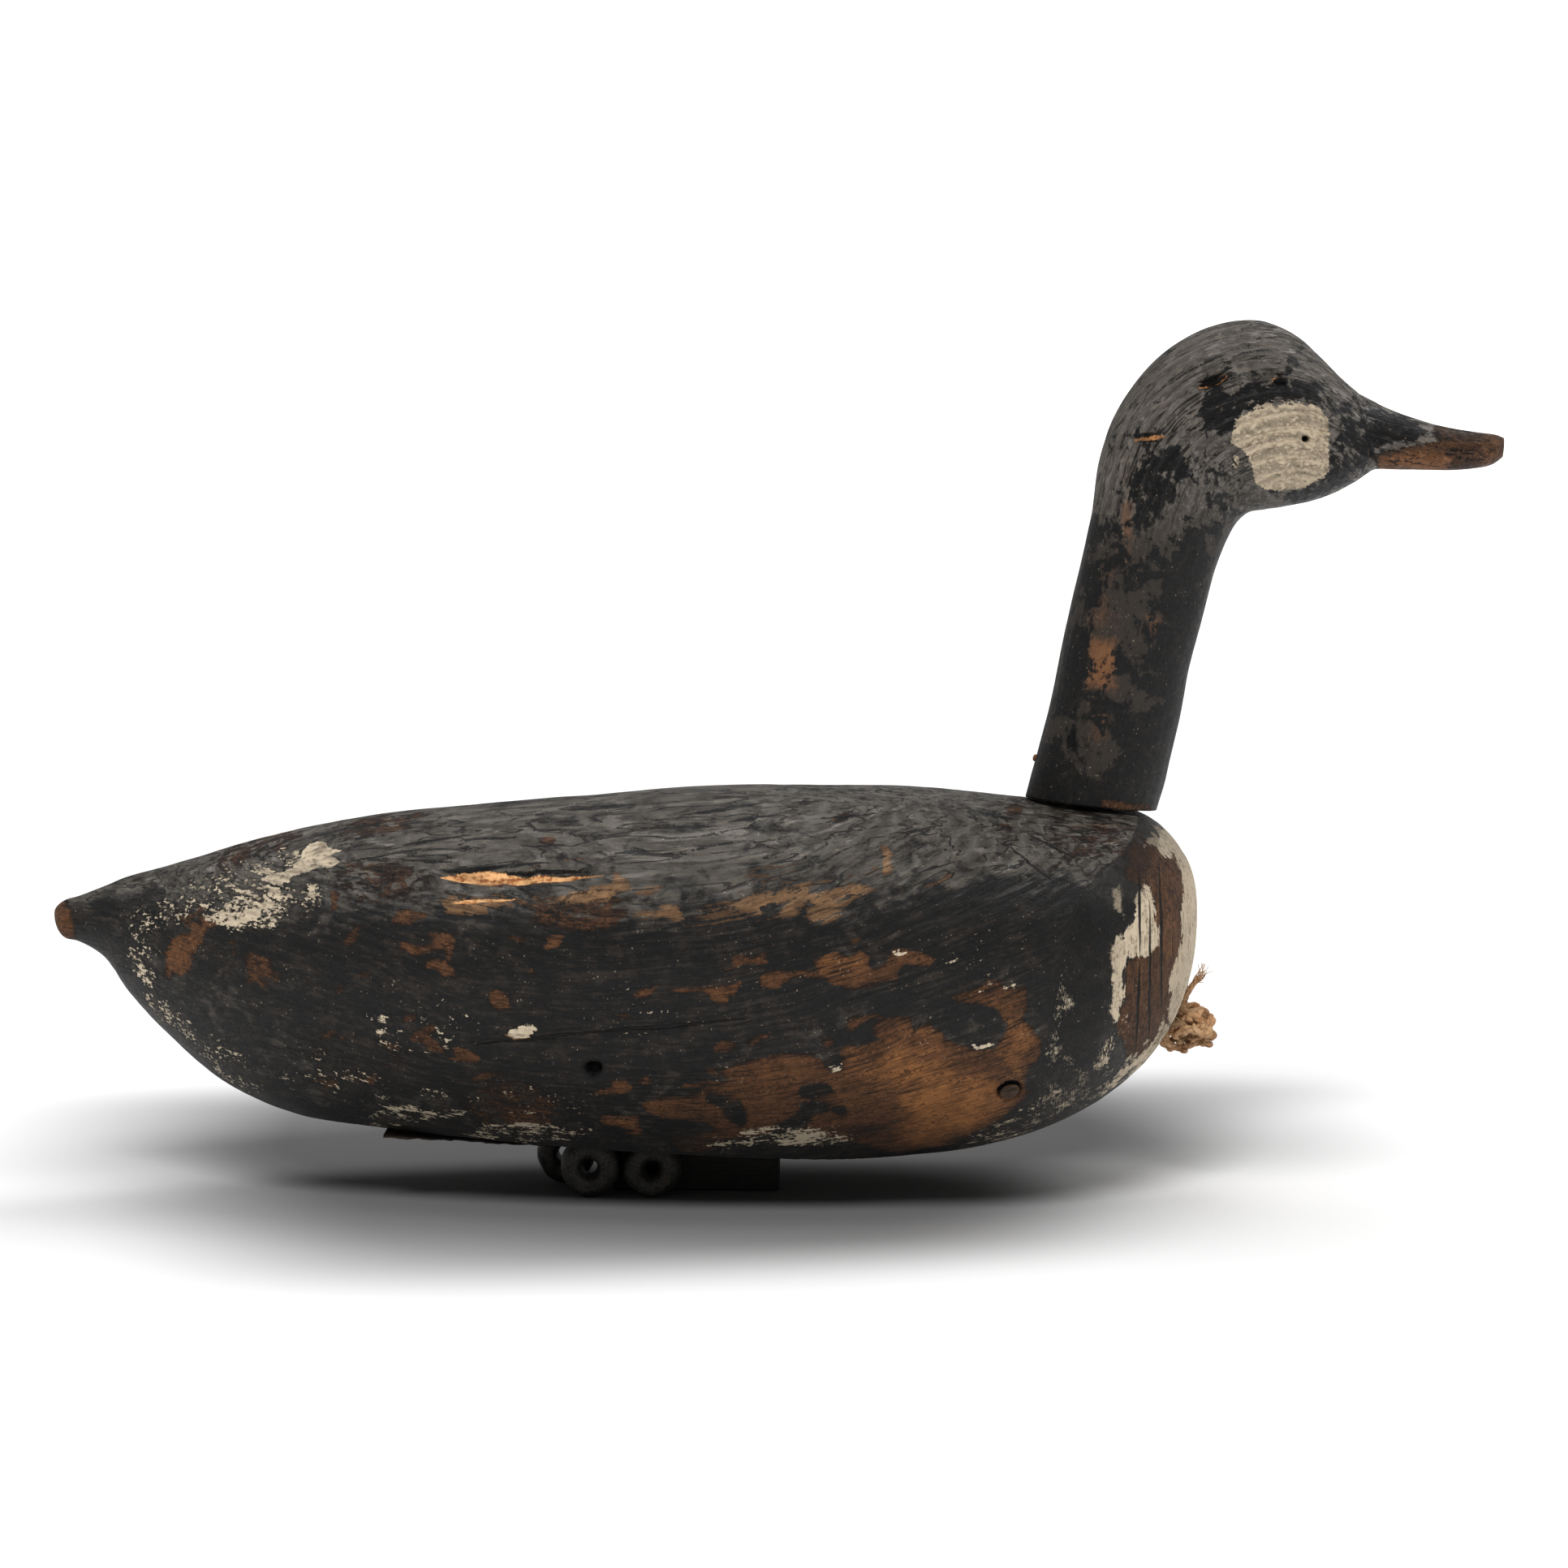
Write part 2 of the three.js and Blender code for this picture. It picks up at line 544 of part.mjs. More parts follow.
// The free end of the line stands up from the knot and tapers to its frayed tip.
function ropeTailSolid() {
  const start = knotCentre.clone().add(new THREE.Vector3(-1, -2, KNOT_HEIGHT / 2 - 1));
  const bend = start.clone().add(new THREE.Vector3(5, 0, TAIL_OF_ROPE * 0.45));
  const end = start.clone().add(new THREE.Vector3(12.5, 0, TAIL_OF_ROPE * 0.86));
  const route = new THREE.CatmullRomCurve3([start, bend, end]);
  const STEPS = 8;
  const SIDES = 8;
  const rings = Array.from({ length: STEPS + 1 }, (_, i) => {
    const t = i / STEPS;
    const centre = route.getPoint(t);
    const radius = (ROPE_DIAMETER / 2) * (1.15 - 0.75 * t);
    return Array.from({ length: SIDES }, (_, j) => {
      const angle = (2 * Math.PI * j) / SIDES;
      const lean = 0.4;
      return centre
        .clone()
        .add(
          new THREE.Vector3(
            radius * Math.cos(angle) * Math.cos(lean),
            radius * Math.sin(angle),
            -radius * Math.cos(angle) * Math.sin(lean),
          ),
        );
    });
  });
  return solid(closedLoft(rings, route.getPoint(0), route.getPoint(1)))
    .subtract(solid(placed(ellipsoid([KNOT_LENGTH + 1, KNOT_DEPTH + 1, KNOT_HEIGHT + 1], 18), knotCentre)))
    .subtract(solid(closedBreast(GAP)));
}

// Paints: worn black, worn wood, lead, hemp and iron.
const finish = (color, roughness, metalness = 0) =>
  new THREE.MeshStandardMaterial({ color, roughness, metalness, flatShading: true });
const blackPaint = finish("#2b2a28", 0.6);
const headPaint = finish("#34322e", 0.55);
const darkWood = finish("#3a2c22", 0.8);
const lead = finish("#3c3f3d", 0.55, 0.6);
const hemp = finish("#9c7449", 0.95);
const iron = finish("#3b3532", 0.6, 0.8);
const tarredStrip = finish("#1d1916", 0.85);

function mesh(name, made, material) {
  const piece = new THREE.Mesh(geometryOf(made), material);
  piece.name = name;
  return piece;
}

// Everything carved on or fixed to the body is placed in the body's frame, whose origin is under
// the tail's end at the height of the flat bottom's front end.
const bodyGroup = new THREE.Group();
bodyGroup.position.z = bodyLift;
bodyGroup.add(
  mesh("body", bodySolid(), blackPaint),
  mesh("side_plug", plugSolid(), darkWood),
  mesh("bottom_strip", stripSolid(), tarredStrip),
  mesh("anchor_line_knot", knotSolid(), hemp),
  mesh("anchor_line_tail", ropeTailSolid(), hemp),
);

// The neck stands on its seat and touches it at the back, where its foot has less tilt.
const neckX = SEAT_MIDDLE * BODY_LENGTH;
const footHalf = HEAD_HEIGHT * HEAD_STATIONS[0][2];
const footRise = HEAD_HEIGHT * HEAD_STATIONS[0][1];
const headGroup = new THREE.Group();
headGroup.position.set(neckX, 0, seatHeight(neckX - footHalf) - footRise + GAP / Math.cos(SEAT_TILT));
headGroup.rotation.y = NECK_FOOT_TILT - Math.atan2(footRise, footHalf);
headGroup.add(mesh("head_and_neck", headSolid(), headPaint), mesh("neck_nail", nailSolid(), iron));
bodyGroup.add(headGroup);

const decoy = new THREE.Group();
decoy.name = "goose_decoy";
decoy.add(bodyGroup, mesh("keel_block", keelSolid(), darkWood));
WEIGHTS_AT.forEach((place, i) => {
  decoy.add(mesh(`ballast_weight_${i + 1}`, weightSolid(place), lead));
});

// The origin is under the middle between the tail's end and the tip of the bill.
headGroup.updateMatrix();
const billTip = new THREE.Vector3(BILL_TIP[0] * HEAD_HEIGHT, 0, BILL_TIP[1] * HEAD_HEIGHT);
decoy.position.x = -billTip.applyMatrix4(headGroup.matrix).x / 2;

export default decoy;
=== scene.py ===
"""A weathered goose decoy of carved and painted wood, standing on its ballast.

Lengths are millimetres until a mesh is made, and metres from there on. +X is the way the goose
looks, +Z is up, and the side with -Y is the near one, which carries the worn spots. A worn spot
is placed where it is seen in a picture 1932 points wide and high, taken from the near side.
"""

from __future__ import annotations

import itertools
import logging
import math
from collections.abc import Callable, Sequence
from dataclasses import dataclass
from enum import Enum

import bpy
import numpy as np
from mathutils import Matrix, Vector

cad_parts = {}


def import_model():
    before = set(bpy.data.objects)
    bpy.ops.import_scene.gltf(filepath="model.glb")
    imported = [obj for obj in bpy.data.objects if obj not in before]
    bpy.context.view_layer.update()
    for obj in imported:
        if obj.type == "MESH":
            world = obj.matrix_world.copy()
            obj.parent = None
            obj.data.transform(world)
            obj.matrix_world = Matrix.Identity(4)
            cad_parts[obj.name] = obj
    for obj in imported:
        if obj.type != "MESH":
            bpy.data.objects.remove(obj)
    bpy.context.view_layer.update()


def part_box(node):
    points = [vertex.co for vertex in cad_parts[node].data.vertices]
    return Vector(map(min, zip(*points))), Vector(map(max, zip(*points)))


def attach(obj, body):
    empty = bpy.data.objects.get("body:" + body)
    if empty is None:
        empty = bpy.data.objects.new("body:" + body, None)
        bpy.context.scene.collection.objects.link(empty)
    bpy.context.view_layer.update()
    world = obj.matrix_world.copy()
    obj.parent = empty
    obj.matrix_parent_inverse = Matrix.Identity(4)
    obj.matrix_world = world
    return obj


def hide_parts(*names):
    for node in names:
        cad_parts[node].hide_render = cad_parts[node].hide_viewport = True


log = logging.getLogger("goose_decoy")
MM = 0.001
BRIGHTEST = 0.95  # of any paint
FLAT_TILT = math.radians(3.2)  # of the planed bottom, falling towards the breast
POINT = 0.38  # millimetres of the near side that a point of the picture shows
Colour = tuple[float, float, float]


def paint_colour(red: float, green: float, blue: float) -> Colour:
    """Turn a display colour into a linear one.

    Args:
        red, green, blue: display values from 0 to 255.

    Returns:
        The linear colour.
    """
    shares = np.array([red, green, blue]) / 255
    linear = np.where(shares <= 0.04045, shares / 12.92, ((shares + 0.055) / 1.055) ** 2.4)
    return tuple(float(v) for v in np.minimum(linear, BRIGHTEST))


# ---- numbers that vary over space ----


def smooth_table(xs: Sequence[float], ys: Sequence[float]) -> Callable[[np.ndarray], np.ndarray]:
    """Lay a curve through points.

    Between two points it is a cubic whose slope at a point is the slope between that point's
    neighbours.

    Args:
        xs: rising places of the points.
        ys: the curve's values there.

    Returns:
        The curve as a function of an array of places.
    """
    x_at, y_at = np.asarray(xs, float), np.asarray(ys, float)
    after = np.minimum(np.arange(len(x_at)) + 1, len(x_at) - 1)
    before = np.maximum(np.arange(len(x_at)) - 1, 0)
    slope = (y_at[after] - y_at[before]) / (x_at[after] - x_at[before])

    def curve(x: np.ndarray) -> np.ndarray:
        """Give the curve's value at each place.

        Args:
            x: the places; outside the points the end values hold.

        Returns:
            The values.
        """
        x = np.asarray(x, float)
        i = np.clip(np.searchsorted(x_at, x, side="left") - 1, 0, len(x_at) - 2)
        width = x_at[i + 1] - x_at[i]
        t = np.clip((x - x_at[i]) / width, 0, 1)
        a = 2 * t**3 - 3 * t**2 + 1
        rise = (t**3 - 2 * t**2 + t) * slope[i] + (t**3 - t**2) * slope[i + 1]
        return a * y_at[i] + (1 - a) * y_at[i + 1] + width * rise

    return curve


def smooth_step(value: np.ndarray, low: float = 0.0, high: float = 1.0) -> np.ndarray:
    """Rise from 0 at low to 1 at high, level at both ends: 3 t squared minus 2 t cubed."""
    t = np.clip((value - low) / (high - low), 0, 1)
    return t * t * (3 - 2 * t)


def signed_power(value: np.ndarray, exponent: float | np.ndarray) -> np.ndarray:
    """Raise the size of a number to a power and keep its sign."""
    return np.sign(value) * np.abs(value) ** exponent


def circle(count: int) -> np.ndarray:
    """Give evenly spaced angles once round."""
    return np.linspace(0, 2 * np.pi, count, endpoint=False)


def noise(points: np.ndarray, size: float | Sequence[float], seed: int, octaves: int = 4) -> np.ndarray:
    """Make soft random hills.

    Every whole-number corner of a lattice has a random value, blended between corners by a
    quintic. Each octave halves the size and the weight of the one before.

    Args:
        points: places, one per row of three.
        size: size of the largest hills, the same along all axes or one for each.
        seed: picks the random values.
        octaves: how many sizes are added.

    Returns:
        Values around 0, mostly between -1 and 1.
    """
    total = np.zeros(points.shape[:-1])
    weight, norm = 1.0, 0.0
    place = points / np.asarray(size, float)
    for octave in range(octaves):
        base = np.floor(place).astype(np.int64)
        t = place - base
        t = t * t * t * (t * (t * 6 - 15) + 10)
        for corner in itertools.product((0, 1), repeat=3):
            c = base + np.array(corner)
            mix = c[..., 0] * 73856093 ^ c[..., 1] * 19349663 ^ c[..., 2] * 83492791
            mix = (mix ^ (seed + 31 * octave) * 2654435761) & 0xFFFFFFFF
            mix = ((mix ^ (mix >> 15)) * 2246822519) & 0xFFFFFFFF
            mix = ((mix ^ (mix >> 13)) * 3266489917) & 0xFFFFFFFF
            value = ((mix ^ (mix >> 16)) & 0xFFFF) / 32767.5 - 1
            total += weight * value * np.prod(np.where(corner, t, 1 - t), axis=-1)
        norm += weight
        weight *= 0.5
        place = place * 2 + 17.3
    return total / norm * 1.6


# ---- the picture from the near side ----


@dataclass(frozen=True)
class Viewpoint:
    """The camera of the picture, and how it sees a point of the decoy."""

    place: tuple[float, float, float] = (3.5, -2000.0, 353.0)
    aim: tuple[float, float, float] = (3.5, 0.0, 198.0)
    focal: float = 5110.0  # in points of the picture
    side: float = 1932.0
    sensor: float = 36.0

    def axes(self) -> tuple[np.ndarray, np.ndarray, np.ndarray]:
        """Work out where the camera's own directions point.

        Returns:
            Unit vectors to its right, up and forward.
        """
        forward = np.subtract(self.aim, self.place)
        forward = forward / np.linalg.norm(forward)
        right = np.cross(forward, (0, 0, 1))
        right = right / np.linalg.norm(right)
        return right, np.cross(right, forward), forward

    def picture(self, points: np.ndarray) -> np.ndarray:
        """Say where points are seen, as if all were on the near side.

        A point's place is its share across the view times the focal length, from the middle.

        Args:
            points: places in millimetres; those of the far side are mirrored to the near one.

        Returns:
            Points of the picture, x to the right and y down.
        """
        right, up, forward = self.axes()
        near = points * (1, 0, 1) - np.abs(points) * (0, 1, 0)
        offset = near - np.array(self.place)
        depth = offset @ forward
        x = self.side / 2 + self.focal * (offset @ right) / depth
        y = self.side / 2 - self.focal * (offset @ up) / depth
        return np.stack([x, y], axis=-1)

    def set_up(self) -> None:
        """Put the camera in the scene."""
        data = bpy.data.cameras.new("camera")
        data.lens = self.sensor * self.focal / self.side
        data.sensor_width = self.sensor
        camera = bpy.data.objects.new("camera", data)
        camera.location = Vector(self.place) * MM
        towards = Vector(np.subtract(self.aim, self.place))
        camera.rotation_euler = towards.to_track_quat("-Z", "Y").to_euler()
        bpy.context.scene.collection.objects.link(camera)
        bpy.context.scene.camera = camera


@dataclass(frozen=True)
class Patch:
    """A spot with a ragged edge, as an outline in the picture."""

    outline: tuple[float, ...]  # x and y of each corner in turn
    cover: float = 1.0
    feather: float = 6.0

    def amount(self, at: np.ndarray) -> np.ndarray:
        """Give how much of the spot is at each point.

        The distance to the nearest edge of the outline, positive inside, is spread over the
        feather's width.

        Args:
            at: points of the picture.

        Returns:
            From 0 well outside to the cover well inside.
        """
        a = np.reshape(np.array(self.outline, float), (-1, 2))
        b = np.roll(a, -1, axis=0)
        inside = np.zeros(at.shape[:-1], bool)
        nearest = np.full(at.shape[:-1], np.inf)
        for p, q in zip(a, b):
            edge, to = q - p, at - p
            t = np.clip((to @ edge) / max(edge @ edge, 1e-9), 0, 1)
            nearest = np.minimum(nearest, np.hypot(*np.moveaxis(to - t[..., None] * edge, -1, 0)))
            if p[1] != q[1]:
                crosses = (p[1] > at[..., 1]) != (q[1] > at[..., 1])
                inside ^= crosses & (to[..., 0] < edge[0] * to[..., 1] / edge[1])
        signed = np.where(inside, nearest, -nearest)
        return self.cover * smooth_step(signed, -self.feather, self.feather)


@dataclass(frozen=True)
class Streak:
    """A long spot that follows the grain, as a sloping ellipse in the picture."""

    box: tuple[float, float, float, float]  # left, right, top and bottom
    cover: float = 1.0
    slope: float = 0.0  # degrees, rising to the right

    def amount(self, at: np.ndarray) -> np.ndarray:
        """Give how much of the spot is at each point.

        Args:
            at: points of the picture.

        Returns:
            The cover in the middle, and 0 somewhat outside the ellipse.
        """
        left, right, top, bottom = self.box
        x, y = at[..., 0] - (left + right) / 2, at[..., 1] - (top + bottom) / 2
        y = y + x * math.tan(math.radians(self.slope))
        far = np.hypot(x / (right - left), y / (bottom - top)) * 2
        return self.cover * smooth_step(1.35 - far, 0.0, 0.8)


def most(spots: Sequence[Patch | Streak], at: np.ndarray) -> np.ndarray:
    """Give the largest amount among the spots at each point."""
    return np.max([spot.amount(at) for spot in spots], axis=0) if spots else np.zeros(at.shape[:-1])


def stray(seen: np.ndarray, points: np.ndarray, amount: float) -> np.ndarray:
    """Push places in the picture about by noise, so that what is laid there gets ragged edges.

    Args:
        seen: places in the picture.
        points: places on the piece, which the noise is read at.
        amount: how far across, in points of the picture; half as far up and down.

    Returns:
        The moved places.
    """
    across, down = noise(points, (26, 13, 13), 301, 5), noise(points, (22, 11, 11), 302, 5)
    return seen + np.stack([across * amount, down * amount * 0.5], -1)


# ---- meshes ----


def add_surface(
    name: str, rings: np.ndarray, node: str | None, wrap: bool = False
) -> bpy.types.Object:
    """Make a closed mesh through rings of points.

    Neighbouring points of neighbouring rings make a quad. The ends are closed by fans to the
    middle of the first and last ring, or joined to each other.

    Args:
        name: name of the piece.
        rings: points as (ring, place round it, xyz), in millimetres.
        node: the solid that the piece stands for, if any.
        wrap: join the last ring to the first.

    Returns:
        The piece.
    """
    count, sides = rings.shape[:2]
    points = rings.reshape(-1, 3)
    i, j = np.meshgrid(np.arange(count if wrap else count - 1), np.arange(sides), indexing="ij")
    across, along = (j + 1) % sides, (i + 1) % count
    quads = np.stack([i * sides + j, i * sides + across, along * sides + across, along * sides + j], -1)
    faces = quads.reshape(-1, 4)
    fans = np.zeros((0, 3), int)
    if not wrap:
        points = np.vstack([points, rings[0].mean(0), rings[-1].mean(0)])
        edge, end = np.arange(sides), (count - 1) * sides
        turn = (edge + 1) % sides
        first = np.stack([np.full(sides, count * sides), turn, edge], -1)
        last = np.stack([np.full(sides, count * sides + 1), end + edge, end + turn], -1)
        fans = np.vstack([first, last])
    corners = points[faces]
    volume = np.einsum("ij,ij->i", corners[:, 0], np.cross(corners[:, 1], corners[:, 2])).sum()
    volume += np.einsum("ij,ij->i", corners[:, 0], np.cross(corners[:, 2], corners[:, 3])).sum()
    if volume < 0:
        faces, fans = faces[:, ::-1], fans[:, ::-1]
    mesh = bpy.data.meshes.new(name)
    mesh.vertices.add(len(points))
    mesh.vertices.foreach_set("co", (points * MM).ravel())
    loops = np.concatenate([faces.ravel(), fans.ravel()])
    sizes = np.concatenate([np.full(len(faces), 4), np.full(len(fans), 3)])
    mesh.loops.add(len(loops))
    mesh.loops.foreach_set("vertex_index", loops)
    mesh.polygons.add(len(sizes))
    mesh.polygons.foreach_set("loop_start", np.concatenate([[0], np.cumsum(sizes)[:-1]]))
    mesh.polygons.foreach_set("loop_total", sizes)
    mesh.update(calc_edges=True)
    mesh.validate()
    mesh.shade_smooth()
    piece = bpy.data.objects.new(name, mesh)
    bpy.context.scene.collection.objects.link(piece)
    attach(piece, "root")
    if node:
        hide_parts(node)
    log.info("%s: %d faces", name, len(sizes))
    return piece


def add_values(piece: bpy.types.Object, **values: np.ndarray) -> None:
    """Store a number or a vector for each point of a piece.

    The middles of the end rings, where a piece has them, get the mean of their ring.

    Args:
        piece: the piece.
        values: what is stored, by name, as (ring, place round it) or with a vector's axis last.
    """
    mesh = piece.data
    for name, data in values.items():
        flat = data.reshape(-1, 3) if data.ndim == 3 else data.reshape(-1)
        kind, key = ("FLOAT_VECTOR", "vector") if data.ndim == 3 else ("FLOAT", "value")
        missing = len(mesh.vertices) - len(flat)
        if missing:
            ends = [data[0].mean(0), data[-1].mean(0)]
            flat = np.concatenate([flat, np.array(ends)])
        mesh.attributes.new(name, kind, "POINT").data.foreach_set(key, flat.astype(np.float32).ravel())


def normals_of(rings: np.ndarray) -> np.ndarray:
    """Work out the normals of a ring surface, as the cross product of its two directions.

    Args:
        rings: points of the surface.

    Returns:
        Unit vectors that point outwards.
    """
    along = np.gradient(rings, axis=0)
    around = np.roll(rings, -1, axis=1) - np.roll(rings, 1, axis=1)
    normal = np.cross(along, around)
    length = np.linalg.norm(normal, axis=-1, keepdims=True)
    normal = normal / np.maximum(length, 1e-9)
    middle = rings.mean(axis=1, keepdims=True)
    outward = np.sign(np.einsum("ijk,ijk->i", normal, rings - middle))[:, None, None]
    return normal * np.where(outward == 0, 1, outward)


def sweep(path: np.ndarray, radii: np.ndarray) -> np.ndarray:
    """Carry a round section along a path.

    Each ring is radius times (cosine, sine) in the two directions square to the path. Those
    directions are carried along without twist.

    Args:
        path: points of the middle line.
        radii: radius as (ring, place round it).

    Returns:
        Rings of points.
    """
    tangent = np.gradient(path, axis=0)
    tangent /= np.linalg.norm(tangent, axis=1, keepdims=True)
    side = np.cross(tangent[0], (0.3, 0.2, 1.0))
    sides = []
    for direction in tangent:
        side = side - (side @ direction) * direction
        side = side / np.linalg.norm(side)
        sides.append(side)
    first = np.array(sides)
    second = np.cross(tangent, first)
    angle = circle(radii.shape[1])[None, :, None]
    spoke = np.cos(angle) * first[:, None] + np.sin(angle) * second[:, None]
    return path[:, None] + radii[..., None] * spoke


# ---- shader language ----


class Value:
    """A shader socket that can be used in sums."""

    def __init__(self, graph: Graph, socket: bpy.types.NodeSocket) -> None:
        """Wrap a socket of a graph."""
        self.graph, self.socket = graph, socket

    def _with(self, operation: str, *others: Value | float) -> Value:
        """Add a Math node with this socket first."""
        return self.graph.math(operation, self, *others)

    def __add__(self, other: Value | float) -> Value:
        """Add."""
        return self._with("ADD", other)

    __radd__ = __add__

    def __mul__(self, other: Value | float) -> Value:
        """Multiply."""
        return self._with("MULTIPLY", other)

    __rmul__ = __mul__

    def __sub__(self, other: Value | float) -> Value:
        """Subtract."""
        return self._with("SUBTRACT", other)

    def __rsub__(self, other: Value | float) -> Value:
        """Subtract this from a number."""
        return self.graph.math("SUBTRACT", other, self)

    def __truediv__(self, other: Value | float) -> Value:
        """Divide."""
        return self._with("DIVIDE", other)

    def power(self, other: float) -> Value:
        """Raise to a power."""
        return self._with("POWER", other)

    def distance(self) -> Value:
        """Drop the sign."""
        return self._with("ABSOLUTE")

    def part(self) -> Value:
        """Keep what is after the point."""
        return self._with("FRACT")

    def step(self, low: float, high: float) -> Value:
        """Rise smoothly from 0 at low to 1 at high.

        Args:
            low: where the result is 0.
            high: where it is 1; this may be the smaller one.

        Returns:
            The result.
        """
        settings = {"interpolation_type": "SMOOTHSTEP"}
        low_first = low < high
        inputs = {"Value": self, "From Min": min(low, high), "From Max": max(low, high)}
        inputs |= {"To Min": 0.0 if low_first else 1.0, "To Max": 1.0 if low_first else 0.0}
        return self.graph.node("ShaderNodeMapRange", settings, inputs)


Input = Value | float | tuple | bpy.types.NodeSocket


class Graph:
    """The nodes of one material."""

    def __init__(self, name: str) -> None:
        """Start a material with an empty node tree.

        Args:
            name: name of the material.
        """
        self.material = bpy.data.materials.new(name)
        self.material.use_nodes = True
        self.tree = self.material.node_tree
        self.tree.nodes.clear()

    def node(
        self, kind: str, settings: dict | None = None, inputs: dict | None = None, output: int | str = 0
    ) -> Value:
        """Add one node.

        Args:
            kind: the node's type.
            settings: its properties, set first.
            inputs: values or links of its sockets, by name or number.
            output: which output is wanted.

        Returns:
            That output.
        """
        made = self.tree.nodes.new(kind)
        for key, value in (settings or {}).items():
            setattr(made, key, value)
        for key, value in (inputs or {}).items():
            socket = made.inputs[key]
            if isinstance(value, Value):
                self.tree.links.new(value.socket, socket)
            else:
                four = isinstance(value, tuple) and len(value) == 3 and socket.type == "RGBA"
                socket.default_value = (*value, 1.0) if four else value
        return Value(self, made.outputs[output])

    def math(self, operation: str, *terms: Value | float) -> Value:
        """Add a Math node."""
        return self.node("ShaderNodeMath", {"operation": operation}, dict(enumerate(terms)))

    def mix(self, share: Value | float, first: Input, second: Input) -> Value:
        """Go from the first colour to the second by a share."""
        inputs = {"Factor": share, 6: first, 7: second}
        return self.node("ShaderNodeMix", {"data_type": "RGBA"}, inputs, 2)

    def stored(self, name: str, vector: bool = False) -> Value:
        """Read what is stored on the points under a name."""
        output = "Vector" if vector else "Fac"
        return self.node("ShaderNodeAttribute", {"attribute_name": name}, output=output)

    def split(self, vector: Value) -> tuple[Value, ...]:
        """Give the three numbers of a vector."""
        parts = self.node("ShaderNodeSeparateXYZ", None, {"Vector": vector}).socket.node
        return tuple(Value(self, parts.outputs[axis]) for axis in "XYZ")

    def place(
        self, vector: Value | None = None, scale: tuple = (1000, 1000, 1000), shift: tuple = (0, 0, 0)
    ) -> Value:
        """Give the place on the piece in millimetres, or a stored vector, stretched and moved."""
        source = vector or self.node("ShaderNodeTexCoord", output="Object")
        return self.node("ShaderNodeMapping", None, {"Vector": source, "Scale": scale, "Location": shift})

    def cloud(
        self,
        at: Value,
        scale: float,
        detail: float = 5.0,
        rough: float = 0.6,
        warp: float = 0.0,
        gain: float = 1.9,
    ) -> Value:
        """Give noise around one half.

        Args:
            at: the place.
            scale: how many hills there are per unit.
            detail: how many finer sizes are added.
            rough: how much each finer size counts.
            warp: how far the hills are bent.
            gain: factor on the difference from one half, so that it fills 0 to 1 or more.

        Returns:
            The noise.
        """
        inputs = {"Vector": at, "Scale": scale, "Detail": detail, "Roughness": rough, "Distortion": warp}
        fac = self.node("ShaderNodeTexNoise", {"normalize": True}, inputs, "Fac")
        return (fac - 0.5) * gain + 0.5

    def most(self, *terms: Value) -> Value:
        """Take the largest of some numbers.

        Args:
            terms: the numbers.

        Returns:
            The largest one.
        """
        result = terms[0]
        for term in terms[1:]:
            result = self.math("MAXIMUM", result, term)
        return result

    def finish(self, bump: Value | None = None, depth: float = 0.4, **sockets: Input) -> bpy.types.Material:
        """Close the material with a Principled shader.

        Args:
            bump: height of the relief, 0 to 1.
            depth: the relief's depth in millimetres.
            sockets: values or links by socket name, with _ for a space.

        Returns:
            The material.
        """
        inputs = {name.replace("_", " "): value for name, value in sockets.items()}
        if bump is not None:
            relief = {"Height": bump, "Distance": depth * MM, "Strength": 1.0}
            inputs["Normal"] = self.node("ShaderNodeBump", None, relief)
        shader = self.node("ShaderNodeBsdfPrincipled", None, inputs)
        output = self.tree.nodes.new("ShaderNodeOutputMaterial")
        self.tree.links.new(shader.socket, output.inputs["Surface"])
        return self.material


# ---- finishes ----


@dataclass(frozen=True)
class Sliver:
    """A thin crack or split, from one point of the picture to another."""

    start: tuple[float, float]
    end: tuple[float, float]
    half: float  # half its height at the widest
    widest: float = 0.3  # share of the way

    def mask(self, x: Value, y: Value, soft: float = 1.2) -> Value:
        """Give 1 inside the sliver.

        The place is split into a share of the way along it and a distance off it. Its half
        height is the widest one, times the share of the way from either end to the widest
        place, to the power 0.6.

        Args:
            x, y: the place in the picture.
            soft: width of the soft edge.

        Returns:
            The mask.
        """
        run = math.dist(self.start, self.end)
        ux, uy = (self.end[0] - self.start[0]) / run, (self.end[1] - self.start[1]) / run
        dx, dy = x - self.start[0], y - self.start[1]
        way = (dx * ux + dy * uy) / run
        graph = x.graph
        nearer = graph.math("MINIMUM", way / self.widest, (1.0 - way) / (1.0 - self.widest))
        full = graph.math("MAXIMUM", nearer, 0.0).power(0.6) * self.half
        return (full - (dy * ux - dx * uy).distance()).step(-soft / 2, soft / 2) * full.step(0.0, 0.4)


@dataclass(frozen=True)
class HoleShade:
    """Painted shade in the mouth of a round hole, in the picture."""

    at: tuple[float, float]
    radius: float

    def mask(self, x: Value, y: Value) -> Value:
        """Give 1 inside the hole."""
        far = ((x - self.at[0]).power(2.0) + (y - self.at[1]).power(2.0)).power(0.5)
        return (far - self.radius).step(1.2, -0.8)


